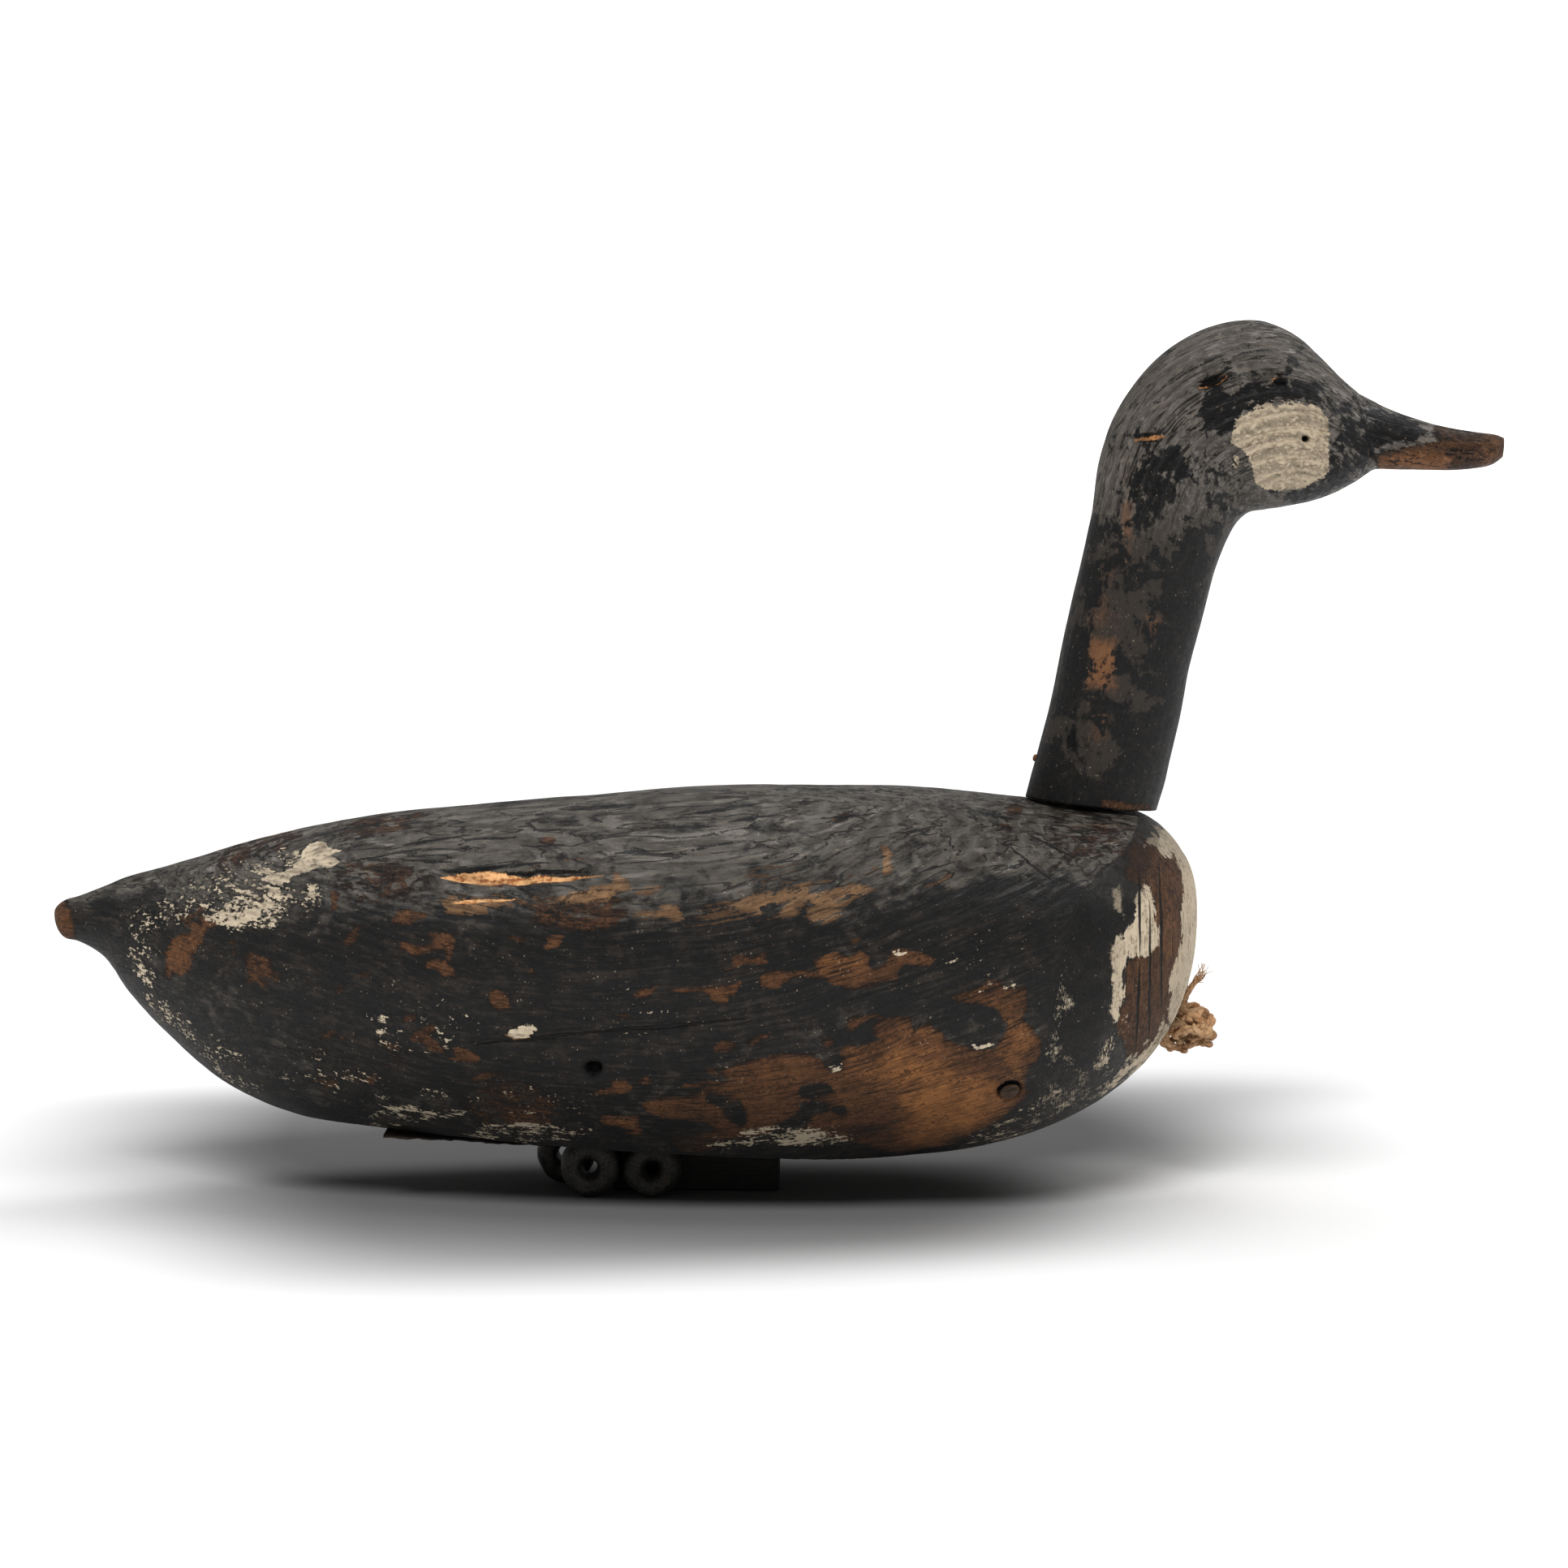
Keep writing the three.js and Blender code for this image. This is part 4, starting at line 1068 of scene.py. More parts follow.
SIDE_WARM = (
    Patch((1120, 1350, 1170, 1330, 1225, 1340, 1240, 1370, 1200, 1392, 1140, 1408, 1105, 1400), 0.9, 30),
    Patch((1236, 1266, 1275, 1272, 1284, 1298, 1262, 1330, 1238, 1320), 0.6, 20),
    Patch((1040, 1292, 1120, 1288, 1160, 1330, 1080, 1350, 1030, 1330), 0.55, 24),
    Patch((905, 1312, 1000, 1304, 1000, 1334, 910, 1344), 0.3, 20),
    Patch((203, 1160, 262, 1130, 250, 1166, 230, 1200, 203, 1200), 0.12, 10),
    Patch((740, 1376, 786, 1377, 780, 1398), 0.4, 12),
    Patch((1010, 1176, 1070, 1176, 1066, 1214, 1010, 1210), 0.3, 12),
    Patch((1432, 1050, 1462, 1060, 1456, 1180, 1442, 1240, 1428, 1280, 1426, 1180), 0.12, 10),
)
SIDE_KEPT = (
    Patch((990, 1342, 1004, 1335, 1022, 1334, 1031, 1344, 1012, 1351, 1004, 1357, 988, 1352), 0.9, 5),
    Patch((897, 1362, 916, 1358, 920, 1378, 914, 1388, 900, 1381, 889, 1372), 0.9, 5),
    Patch((960, 1386, 985, 1376, 992, 1360, 1021, 1362, 1022, 1374, 1000, 1378, 986, 1396, 958, 1402), 0.85, 6),
    Patch((1022, 1367, 1042, 1367, 1040, 1377, 1026, 1377), 0.8, 5),
    Patch((874, 1348, 902, 1352, 892, 1362, 870, 1358), 0.8, 5),
    Patch((1176, 1242, 1222, 1250, 1230, 1268, 1216, 1288, 1194, 1291, 1180, 1281, 1172, 1260), 0.9, 6),
    Patch((944, 1120, 952, 1115, 966, 1118, 964, 1124, 950, 1125), 0.9, 4),
    Patch((982, 1120, 1000, 1112, 1004, 1116, 986, 1126), 0.6, 4),
    Streak((800, 880, 1384, 1402), 0.4, 0),
    Streak((1040, 1100, 1384, 1400), 0.3, 4),
)
SIDE_DEEP = (
    Patch((1290, 1075, 1325, 1090, 1350, 1112, 1363, 1149, 1368, 1190, 1366, 1225, 1350, 1290,
           1300, 1290, 1275, 1195, 1200, 1190, 1120, 1160, 1130, 1110, 1210, 1080), 1.0, 10),
    Patch((250, 1170, 300, 1152, 372, 1150, 560, 1200, 700, 1150, 900, 1150, 980, 1240, 720, 1330,
           420, 1330), 0.86, 22),
)
FORE_GREY = (
    Patch((1250, 985, 1390, 985, 1400, 1030, 1378, 1060, 1374, 1140, 1358, 1150, 1329, 1090,
           1290, 1040), 0.9, 12),
)
SPLIT_GROOVE = (
    Patch((545, 1079, 600, 1071, 741, 1075, 690, 1084, 610, 1090, 565, 1084), 1.0, 4),
)
LONG_CHECK = (
    Patch((584, 1284, 690, 1273, 791, 1263, 925, 1253, 922, 1258, 791, 1270, 690, 1280, 586, 1290), 1.0, 4),
)
BODY_SPLITS = (
    Sliver((542, 1080), (648, 1079), 9.0, 0.45),
    Sliver((590, 1083), (744, 1077), 4.4, 0.35),
    Sliver((556, 1112), (640, 1108), 2.4, 0.3),
)
BODY_CRACKS = (
    Sliver((540, 1073), (628, 1067), 2.6, 0.5),
    Sliver((610, 1074), (735, 1072), 1.6, 0.4),
    Sliver((584, 1287), (791, 1267), 1.5, 0.5),
    Sliver((745, 1271), (925, 1256), 2.2, 0.4),
    Sliver((656, 1023), (702, 1021), 1.7, 0.4),
    Sliver((835, 1005), (941, 990), 2.3, 0.6),
    Sliver((494, 1040), (583, 1028), 1.6, 0.4),
    Sliver((756, 1052), (826, 1046), 1.6, 0.3),
    Sliver((430, 1062), (520, 1046), 1.5, 0.5),
    Sliver((513, 996), (619, 988), 1.5, 0.5),
    Sliver((497, 1060), (558, 1062), 1.8, 0.6),
    Sliver((616, 1067), (684, 1063), 1.6, 0.4),
    Sliver((686, 997), (791, 989), 1.5, 0.5),
    Sliver((724, 1006), (742, 1013), 1.8, 0.5),
    Sliver((786, 1019), (886, 1017), 1.7, 0.5),
    Sliver((897, 1012), (958, 1004), 1.9, 0.4),
    Sliver((1010, 1008), (1082, 1002), 1.8, 0.4),
    Sliver((1108, 1028), (1163, 1018), 1.7, 0.5),
    Sliver((1180, 994), (1258, 1010), 1.8, 0.5),
    Sliver((380, 1030), (470, 1012), 1.7, 0.5),
    Sliver((566, 1036), (640, 1030), 1.6, 0.5),
    Sliver((640, 1042), (700, 1040), 1.5, 0.5),
    Sliver((1240, 1040), (1300, 1090), 1.5, 0.5),
    Sliver((1262, 1024), (1330, 1060), 1.4, 0.5),
    Sliver((1404, 1062), (1405, 1178), 1.7, 0.4),
    Sliver((1404, 1186), (1400, 1300), 1.8, 0.4),
    Sliver((1417, 1110), (1416, 1292), 1.5, 0.5),
    Sliver((1429, 1050), (1431, 1250), 1.6, 0.5),
)
# painted shade in the mouth of the deep hole in the side
BODY_HOLE_SHADES = (HoleShade((731, 1317), 9.0),)
CHEEK_WHITE = (
    Patch((1517, 537, 1524, 520, 1540, 508, 1565, 501, 1602, 498, 1627, 503, 1638, 518, 1638, 576,
           1631, 588, 1607, 603, 1582, 606, 1565, 604, 1553, 601, 1544, 588, 1544, 577, 1532, 554,
           1517, 546), 0.95, 7),
    Patch((1540, 492, 1600, 490, 1626, 497, 1604, 506, 1550, 508), 0.45, 4),
    Streak((1517, 1527, 560, 580), 0.8),
)
BILL_WORN = (
    Patch((1696, 560, 1745, 548, 1790, 540, 1830, 527, 1870, 515, 1870, 590, 1700, 590), 0.84, 7),
    Patch((1756, 520, 1800, 524, 1870, 520, 1870, 540, 1780, 545), 0.56, 8),
)
BILL_WARM = (
    Patch((1700, 566, 1740, 556, 1790, 562, 1780, 580, 1700, 580), 0.9, 6),
    Patch((1826, 530, 1870, 520, 1870, 580, 1820, 572), 0.5, 8),
)
BILL_DEEP = (
    Patch((1692, 500, 1700, 503, 1740, 514, 1766, 532, 1742, 546, 1700, 547, 1690, 530), 0.9, 9),
    Patch((1700, 556, 1740, 552, 1736, 560, 1704, 564), 0.8, 4),
)
HEAD_WARM = (
    Patch((1378, 618, 1400, 616, 1398, 664, 1380, 662), 0.7, 10),
    Patch((1338, 784, 1374, 786, 1374, 846, 1340, 846), 1.0, 16),
    Patch((1406, 756, 1430, 756, 1430, 792, 1408, 792), 0.6, 12),
    Patch((1352, 700, 1376, 700, 1380, 780, 1350, 780), 0.4, 16),
    Patch((1345, 860, 1370, 860, 1364, 920, 1340, 920), 0.5, 14),
    Patch((1380, 560, 1410, 560, 1400, 700, 1376, 700), 0.35, 16),
)
HEAD_DEEP = (
    Patch((1395, 880, 1462, 870, 1440, 1000, 1262, 1000, 1275, 930, 1300, 925, 1330, 950, 1385, 950), 0.62, 16),
    Patch((1392, 590, 1430, 552, 1462, 548, 1458, 590, 1440, 640, 1404, 656, 1396, 620), 0.5, 12),
    Patch((1436, 700, 1480, 650, 1484, 700, 1466, 850, 1440, 900, 1428, 800), 0.6, 10),
    Patch((1476, 500, 1500, 484, 1560, 474, 1600, 470, 1650, 480, 1640, 505, 1600, 497, 1560, 500,
           1520, 528, 1480, 540), 0.4, 8),
    Patch((1336, 640, 1348, 630, 1352, 660, 1342, 668), 0.6, 5),
    Patch((1334, 700, 1350, 690, 1352, 740, 1340, 750), 0.6, 5),
    Patch((1314, 806, 1336, 790, 1344, 830, 1330, 870, 1304, 880), 0.45, 8),
    Patch((1560, 604, 1640, 590, 1690, 562, 1660, 600, 1600, 622), 0.4, 8),
    Patch((1628, 468, 1690, 498, 1702, 560, 1662, 602, 1638, 600, 1640, 520), 0.4, 22),
)
HEAD_SEAM = (
    Patch((1669, 484, 1676, 482, 1688, 530, 1700, 574, 1694, 576, 1680, 532), 1.0, 3),
)
FOOT_RIM = (
    Patch((1355, 984, 1390, 989, 1418, 991, 1419, 1002, 1390, 1000, 1355, 995), 0.8, 3),
)
HEAD_SPLITS = (
    Sliver((1476, 478), (1513, 462), 6.0, 0.5),
    Sliver((1396, 541), (1437, 538), 3.4, 0.5),
    Sliver((1566, 470), (1574, 466), 2.2, 0.5),
)
HEAD_CRACKS = (
    Sliver((1478, 475), (1510, 463), 5.0, 0.5),
    Sliver((1474, 471), (1512, 457), 2.4, 0.5),
    Sliver((1484, 479), (1504, 472), 2.0, 0.5),
    Sliver((1396, 537), (1436, 533), 2.4, 0.5),
    Sliver((1400, 545), (1434, 543), 1.4, 0.5),
    # the mouth of the nail hole, painted near-black as painted shade
    Sliver((1567, 472), (1587, 467), 5.0, 0.5),
    Sliver((1315, 924), (1323, 896), 4.5, 0.5),
    Sliver((1671, 483), (1697, 575), 1.6, 0.5),
    Sliver((1516, 563), (1527, 578), 1.2, 0.5),
)
# painted shade in the mouth of the hole in the cheek
HEAD_HOLE_SHADES = (HoleShade((1609, 541), 4.4),)


@dataclass(frozen=True)
class Pit:
    """A hole or a torn hollow in the near side."""

    at: tuple[float, float]  # in the picture
    size: tuple[float, float]  # half width and half height there
    depth: float
    slope: float = 0.0  # degrees, rising to the right
    torn: bool = False  # shows fresh wood

    def reach(self, picture: np.ndarray) -> np.ndarray:
        """Work out the distance from the pit's middle.

        Args:
            picture: where points are seen.

        Returns:
            The distance, 1 at the rim.
        """
        x, y = picture[..., 0] - self.at[0], picture[..., 1] - self.at[1]
        c, s = math.cos(math.radians(self.slope)), math.sin(math.radians(self.slope))
        return np.hypot((x * c - y * s) / self.size[0], (x * s + y * c) / self.size[1])

    def sink(self, rings: np.ndarray, picture: np.ndarray, normal: np.ndarray) -> np.ndarray:
        """Sink the pit into a surface.

        Points near the rim are drawn onto it, so that its edge is crisp, and those inside go in
        by the depth.

        Args:
            rings: points of the surface.
            picture: where they are seen.
            normal: unit normals.

        Returns:
            The changed points.
        """
        far = self.reach(picture)
        near = rings[..., 1] < 0
        wanted = np.where(far < 1.02, np.minimum(far * 1.06, 0.97), 1.03 + (far - 1.02) * 0.55)
        band = near & (far > 0.5) & (far < 1.7)
        pull = np.where(band, (wanted - far) * smooth_step(1.7 - far, 0, 0.5), 0)
        offset = (picture - np.array(self.at)) * (pull / np.maximum(far, 0.2))[..., None]
        moved = rings + np.stack([offset[..., 0], np.zeros_like(pull), -offset[..., 1]], -1) * POINT
        inward = np.where(near, smooth_step(1.12 - far, 0, 0.7 if self.torn else 0.2), 0)
        return moved - normal * (inward * self.depth)[..., None]


class Side(Enum):
    """A side of the decoy, with the sign of its Y."""

    NEAR = -1.0
    FAR = 1.0


# ---- the carved pieces ----


@dataclass
class Body:
    """The hull-shaped body: stations along its length, each an oval with its own top and bottom."""

    length: float = 553.0
    width: float = 231.0
    height: float = 178.5
    tail_round: float = 8.0
    breast_top_round: float = 40.0
    breast_belly_round: float = 136.0
    breast_side_round: float = 115.0
    breast_squareness: float = 2.25
    flat_front: float = 0.761
    seat_tilt: float = math.radians(7.2)
    seat_depth: float = 0.2
    seat_middle: float = 0.908
    tail_point: float = 0.636
    breast_point: float = 0.651
    crown_squareness: tuple[float, float] = (2.0, 2.45)
    bilge_squareness: float = 2.3
    sides: int = 236
    stations: tuple[tuple[float, float, float, float], ...] = (
        (0, 0.666, 0.563, 0.082),
        (0.022, 0.685, 0.553, 0.095),
        (0.045, 0.711, 0.509, 0.132),
        (0.063, 0.733, 0.422, 0.18),
        (0.098, 0.763, 0.311, 0.295),
        (0.151, 0.814, 0.174, 0.46),
        (0.222, 0.869, 0.088, 0.632),
        (0.293, 0.906, 0.049, 0.76),
        (0.382, 0.932, 0.003, 0.868),
        (0.471, 0.955, -0.031, 0.94),
        (0.556, 0.978, -0.046, 0.984),
        (0.662, 0.979, -0.044, 1),
        (0.759, 0.974, -0.008, 0.997),
        (0.875, 0.938, 0.011, 0.97),
        (1, 0.905, 0.012, 0.935),
    )
    pits: tuple[Pit, ...] = (
        Pit((731, 1317), (9.5, 9.0), 12.0),
        Pit((1244, 1345), (15.5, 10.5), 4.0, 20.0),
    )

    def __post_init__(self) -> None:
        """Take the place of the tail's end and of the flat bottom from the solid."""
        low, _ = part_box("body")
        keel_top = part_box("keel_block")[1]
        self.tail_x = low.x / MM
        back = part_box("keel_block")[0].x / MM - self.tail_x
        self.lift = keel_top.z / MM + 0.3 - self.flat_height(np.array(back))

    def fullness(self, distance: np.ndarray, round_off: float, squareness: float) -> np.ndarray:
        """Say how full the body is at a distance from an end, along a superellipse."""
        left = 1 - np.clip(distance / round_off, 0, 1)
        return np.maximum(0, 1 - left**squareness) ** (1 / squareness)

    def flat_height(self, x: np.ndarray) -> np.ndarray:
        """Give the height of the planed bottom at a distance from the tail."""
        return (self.flat_front * self.length - x) * math.tan(FLAT_TILT)

    def crown(self, x: np.ndarray) -> np.ndarray:
        """Give the height of the back's middle line at a distance from the tail."""
        return self.section(x)[0]

    def seat_height(self, x: np.ndarray) -> np.ndarray:
        """Give the height of the seat planed for the neck."""
        middle = self.seat_middle * self.length
        return self.crown(np.array(middle)) - self.seat_depth - (x - middle) * math.tan(self.seat_tilt)

    def section(self, x: np.ndarray) -> tuple[np.ndarray, np.ndarray, np.ndarray, np.ndarray]:
        """Work out one section.

        Args:
            x: distance from the tail.

        Returns:
            Its top, bottom, half width and the exponent of its crown.
        """
        share = x / self.length
        columns = np.array(self.stations).T
        top, bottom, width = (smooth_table(columns[0], column)(share) for column in columns[1:])
        front = self.length - x
        tail = self.fullness(x, self.tail_round, 2)
        point = self.height * np.where(share < 0.5, self.tail_point, self.breast_point)

        def ended(height: np.ndarray, round_off: float) -> np.ndarray:
            """Draw a height in towards the ends' middle points."""
            breast = self.fullness(front, round_off, self.breast_squareness)
            return point + (height * self.height - point) * tail * breast

        side = self.fullness(front, self.breast_side_round, self.breast_squareness)
        low, high = self.crown_squareness
        exponent = low + (high - low) * share
        half = self.width / 2 * width * tail * side
        return ended(top, self.breast_top_round), ended(bottom, self.breast_belly_round), half, exponent

    def blank(self) -> np.ndarray:
        """Work out the smooth surface, in the frame of the whole decoy.

        A section is a superellipse: the half width and the reach up or down times powers of the
        cosine and sine of the angle round it. Angles lie closer together on the near side. The
        flat bottom and the neck's seat cut it off.

        Returns:
            Rings of points from tail to breast.
        """
        quarter = np.linspace(0.06, 1, 12) * np.pi / 2
        tail = self.tail_round * (1 - np.cos(quarter))
        middle = np.linspace(self.tail_round, self.length - self.breast_top_round, 305)[1:-1]
        breast = self.length - self.breast_top_round * (1 - np.sin(np.linspace(0, 0.985, 76) * np.pi / 2))
        x = np.concatenate([tail, middle, breast])[:, None]
        turn = np.linspace(0, 1, self.sides, endpoint=False)[None] * 2 * np.pi
        angle = turn + 0.34 * np.sin(turn)
        top, bottom, half, crown = self.section(x)
        widest = (top + bottom) / 2
        up, out = np.sin(angle), np.cos(angle)
        power = 2 / np.where(up > 0, crown, self.bilge_squareness)
        y = half * signed_power(out, power)
        z = widest + np.where(up > 0, top - widest, widest - bottom) * signed_power(up, power)
        z = np.maximum(z, self.flat_height(x))
        on_seat = np.abs(x - self.seat_middle * self.length) < 0.3 * self.length
        z = np.where(on_seat, np.minimum(z, self.seat_height(x)), z)
        return np.stack([x + self.tail_x + 0 * y, y, z + self.lift], -1)

    def grain(self, rings: np.ndarray) -> np.ndarray:
        """Give the grain's coordinates.

        The pith runs along the body below its middle, and falls away towards the breast, so the
        growth rings climb to the right there. The radius is the distance from the pith.

        Args:
            rings: points of the surface.

        Returns:
            The distance along the pith, the radius and the angle as a length, per point.
        """
        x, y, z = np.moveaxis(rings, -1, 0)
        climb = 42 * smooth_step(x, -40, 190) + 5 * np.sin(x / 70)
        across, above = y - 24, z + 90 - climb
        sway = noise(rings, (120, 60, 60), 5, 3) * 5
        return np.stack([x, np.hypot(across, above) + sway, np.arctan2(across, above) * 110], -1)

    def build(self, view: Viewpoint) -> bpy.types.Object:
        """Carve the body and store its worn spots.

        The tool left low facets, the weather raised the hard rings of the grain, and the split,
        the checks and the pits go in.

        Args:
            view: the picture that the worn spots are placed in.

        Returns:
            The piece.
        """
        rings = self.blank()
        seen = view.picture(rings)
        near = smooth_step(-rings[..., 1], -4, 4)
        grain = self.grain(rings)
        normal = normals_of(rings)
        up = np.clip(normal[..., 2], 0, 1)
        groove = most(SPLIT_GROOVE, seen) * near
        check = most(LONG_CHECK, seen) * near
        ends = smooth_step(rings[..., 0], self.tail_x, self.tail_x + 12)
        ends = ends * smooth_step(self.tail_x + self.length - rings[..., 0], 0, 8)
        above = rings[..., 2] - self.lift - self.flat_height(rings[..., 0] - self.tail_x)
        flat = smooth_step(above, 0, 1.5)
        hills = 0.7 * noise(rings, (70, 34, 34), 11, 3) + 0.16 * noise(grain, (40, 4, 8), 12, 3)
        torn = noise(grain, (9, 1.4, 3), 13, 3)
        hills = (hills - 0.2) * ends * flat - groove * (3.2 + 1.2 * torn) - check * 1.1
        rings = rings + normal * hills[..., None]
        for pit in self.pits:
            rings = pit.sink(rings, seen, normal)
        # Inside the second pit, painted near-black as painted shade.
        hollow = smooth_step(1.05 - self.pits[1].reach(seen), 0, 0.15) * near
        crisp = stray(seen, rings, 4.0) + noise(rings, (3.5, 3.5, 16.0), 303, 3)[..., None] * (1.0, 9.0)
        unlike = (1 - near[..., None]) * noise(rings, 60, 31, 2)[..., None] * (90, 30)
        soft = stray(seen, rings, 8.0) + unlike
        wander = noise(rings, 30, 21, 4)
        piece = add_surface("carved_body", rings, "body")
        share = 0.72 + 0.28 * near
        kept = most(SIDE_KEPT, soft)
        worn = np.maximum((most(SIDE_WORN, soft) - kept) * share, most(BREAST_BARE + TAIL_BARE, crisp))
        # Upward faces keep less sound black paint and show the paler thin paint: weathering, and also painted
        # top light.
        deep = 0.8 - 0.5 * smooth_step(up, 0.3, 0.85) + most(SIDE_DEEP, soft) * 0.3 + 0.1 * wander
        add_values(
            piece,
            grain=self.breast_grain(grain, rings, normal),
            seen=np.concatenate([seen, near[..., None]], -1),
            worn=np.clip(worn + 0.05 * wander, 0, 1),
            tan=np.clip((most(SIDE_TAN, soft) - kept) * share, 0, 1),
            warm=np.clip(most(SIDE_WARM, soft) + 0.15 * wander, 0, 1),
            white=np.maximum(most(BREAST_WHITE, crisp), most(RUMP_WHITE + EDGE_WHITE, soft)),
            deep=np.clip(deep, 0, 1),
            # More on upward faces: weathering, and also painted top light and painted sheen.
            grey=np.clip(smooth_step(up, 0.12, 0.8) + most(FORE_GREY, soft), 0, 1),
            hollow=hollow,
        )
        return piece

    def breast_grain(self, grain: np.ndarray, rings: np.ndarray, normal: np.ndarray) -> np.ndarray:
        """Turn the grain upright where the breast faces forward, as its worn end shows.

        Args:
            grain: the grain's coordinates.
            rings: points of the surface.
            normal: unit normals.

        Returns:
            The changed coordinates.
        """
        ahead = smooth_step(normal[..., 0], 0.3, 0.6)[..., None]
        upright = np.stack([rings[..., 2], rings[..., 1] * 1.2, rings[..., 0]], -1)
        return grain * (1 - ahead) + upright * ahead


@dataclass
class HeadAndNeck:
    """The head and neck, as rungs from the nape to the throat with an oval round each."""

    height: float = 232.6
    width: float = 54.0
    squareness: float = 2.15
    sides: int = 150
    steps: int = 14  # rings per station
    stations: tuple[tuple[float, float, float, float, float, float], ...] = (
        (-0.136, 0.0136, 0.136, -0.0136, 1.04, 0.5),
        (-0.115, 0.093, 0.157, 0.062, 1.02, 0.5),
        (-0.086, 0.213, 0.182, 0.168, 0.98, 0.5),
        (-0.056, 0.357, 0.202, 0.285, 0.94, 0.5),
        (-0.029, 0.475, 0.229, 0.39, 0.91, 0.5),
        (-0.006, 0.59, 0.257, 0.49, 0.89, 0.5),
        (0.017, 0.724, 0.287, 0.562, 0.89, 0.5),
        (0.06, 0.832, 0.318, 0.599, 0.93, 0.5),
        (0.136, 0.924, 0.354, 0.608, 0.99, 0.47),
        (0.23, 0.981, 0.396, 0.614, 1, 0.43),
        (0.33, 0.999, 0.44, 0.622, 0.98, 0.4),
        (0.405, 0.975, 0.478, 0.634, 0.93, 0.39),
        (0.462, 0.931, 0.51, 0.648, 0.84, 0.4),
        (0.511, 0.884, 0.54, 0.665, 0.7, 0.42),
        (0.546, 0.852, 0.564, 0.681, 0.56, 0.45),
        (0.575, 0.834, 0.583, 0.692, 0.45, 0.48),
        (0.612, 0.816, 0.617, 0.692, 0.41, 0.5),
        (0.668, 0.796, 0.672, 0.691, 0.38, 0.5),
        (0.733, 0.777, 0.735, 0.69, 0.36, 0.5),
        (0.794, 0.768, 0.797, 0.694, 0.34, 0.5),
        (0.829, 0.764, 0.825, 0.701, 0.28, 0.5),
        (0.848, 0.757, 0.846, 0.716, 0.15, 0.5),
    )
    pits: tuple[Pit, ...] = (
        Pit((1609, 541), (4.5, 4.5), 6.0),
        Pit((1576.5, 469.5), (7.5, 4.5), 3.0, 10.0),
        Pit((1492, 468), (20, 9), 3.2, 18.0, True),
        Pit((1415, 538), (19, 5.5), 1.8, -4.0, True),
        Pit((1319, 910), (5, 15), 2.2, 12.0, True),
    )

    def blank(self) -> tuple[np.ndarray, np.ndarray]:
        """Work out the smooth surface and the grain's coordinates.

        A point is a share of the way along a rung, by a power of the angle's sine, and out from
        it by a power of the cosine.

        Returns:
            Rings of points from the foot to the bill, and the grain's coordinates.
        """
        low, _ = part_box("head_and_neck")
        order = np.arange(len(self.stations))
        number = np.linspace(0, order[-1], order[-1] * self.steps + 1)[:, None]
        table = [smooth_table(order, column)(number) for column in np.array(self.stations).T]
        nape_x, nape_z, throat_x, throat_z, width, widest = table
        angle = circle(self.sides)[None]
        up, out, power = np.sin(angle), np.cos(angle), 2 / self.squareness
        along = widest + np.where(up > 0, 1 - widest, widest) * signed_power(up, power)
        x = self.height * (throat_x + (nape_x - throat_x) * along)
        z = self.height * (throat_z + (nape_z - throat_z) * along)
        y = self.width / 2 * width * signed_power(out, power)
        rings = np.stack([x, y, z], -1)
        rings = rings + (low.x / MM - x.min(), 0, low.z / MM - z.min())
        middle = rings.mean(1)
        run = np.concatenate([[0], np.cumsum(np.linalg.norm(np.diff(middle, axis=0), axis=1))])
        rung = self.height * np.hypot(nape_x - throat_x, nape_z - throat_z)
        return rings, np.stack([run[:, None] + 0 * x, rung * (along - 0.5) + 0.35 * y, y], -1)

    def build(self, view: Viewpoint) -> bpy.types.Object:
        """Carve the head and neck and store the worn spots.

        The bill's seam, the two small holes and the torn hollows go in.

        Args:
            view: the picture that the worn spots are placed in.

        Returns:
            The piece.
        """
        rings, grain = self.blank()
        seen = view.picture(rings)
        near = smooth_step(-rings[..., 1], -3, 3)
        normal = normals_of(rings)
        ends = smooth_step(np.arange(len(rings)), 0, self.steps)[:, None]
        hills = 0.45 * noise(rings, (30, 26, 40), 31, 3) + 0.12 * noise(grain, (22, 3, 4), 32, 3) - 0.15
        rings = rings + normal * (hills * ends)[..., None]
        rings = rings - normal * (0.35 * most(HEAD_SEAM, seen))[..., None]
        for pit in self.pits:
            rings = pit.sink(rings, seen, normal)
        crisp = stray(seen, rings, 2.5)
        unlike = (1 - near[..., None]) * noise(rings, 40, 32, 2)[..., None] * (40, 60)
        soft = stray(seen, rings, 8.0) + unlike
        wander = noise(rings, 18, 41, 4)
        piece = add_surface("carved_head", rings, "head_and_neck")
        up = np.clip(normal[..., 2], 0, 1)
        neck = smooth_step(seen[..., 1], 560, 700)
        worn = most(BILL_WORN + FOOT_RIM, crisp)
        deep = 0.31 + 0.16 * neck + 0.1 * wander
        deep = deep + most(HEAD_DEEP, soft) * 0.7 + most(BILL_DEEP, crisp) * 0.6
        add_values(
            piece,
            grain=grain,
            seen=np.concatenate([seen, near[..., None]], -1),
            worn=np.clip(worn + 0.03 * wander, 0, 1),
            tan=0.0 * up,
            warm=np.clip(most(HEAD_WARM, soft) + most(BILL_WARM, crisp) + 0.2 * wander * neck, 0, 1),
            white=np.clip(most(CHEEK_WHITE, crisp), 0, 1),
            deep=np.clip(deep, 0, 1),
            # Mostly on the head, a little more on upward faces: weathering, and also painted top light and
            # painted sheen.
            grey=np.clip(1.0 - 0.95 * neck + 0.1 * smooth_step(up, 0.0, 0.9) * (1 - neck), 0, 1),
            hollow=0.0 * up,
        )
        return piece


# ---- what is fixed under and on the body ----


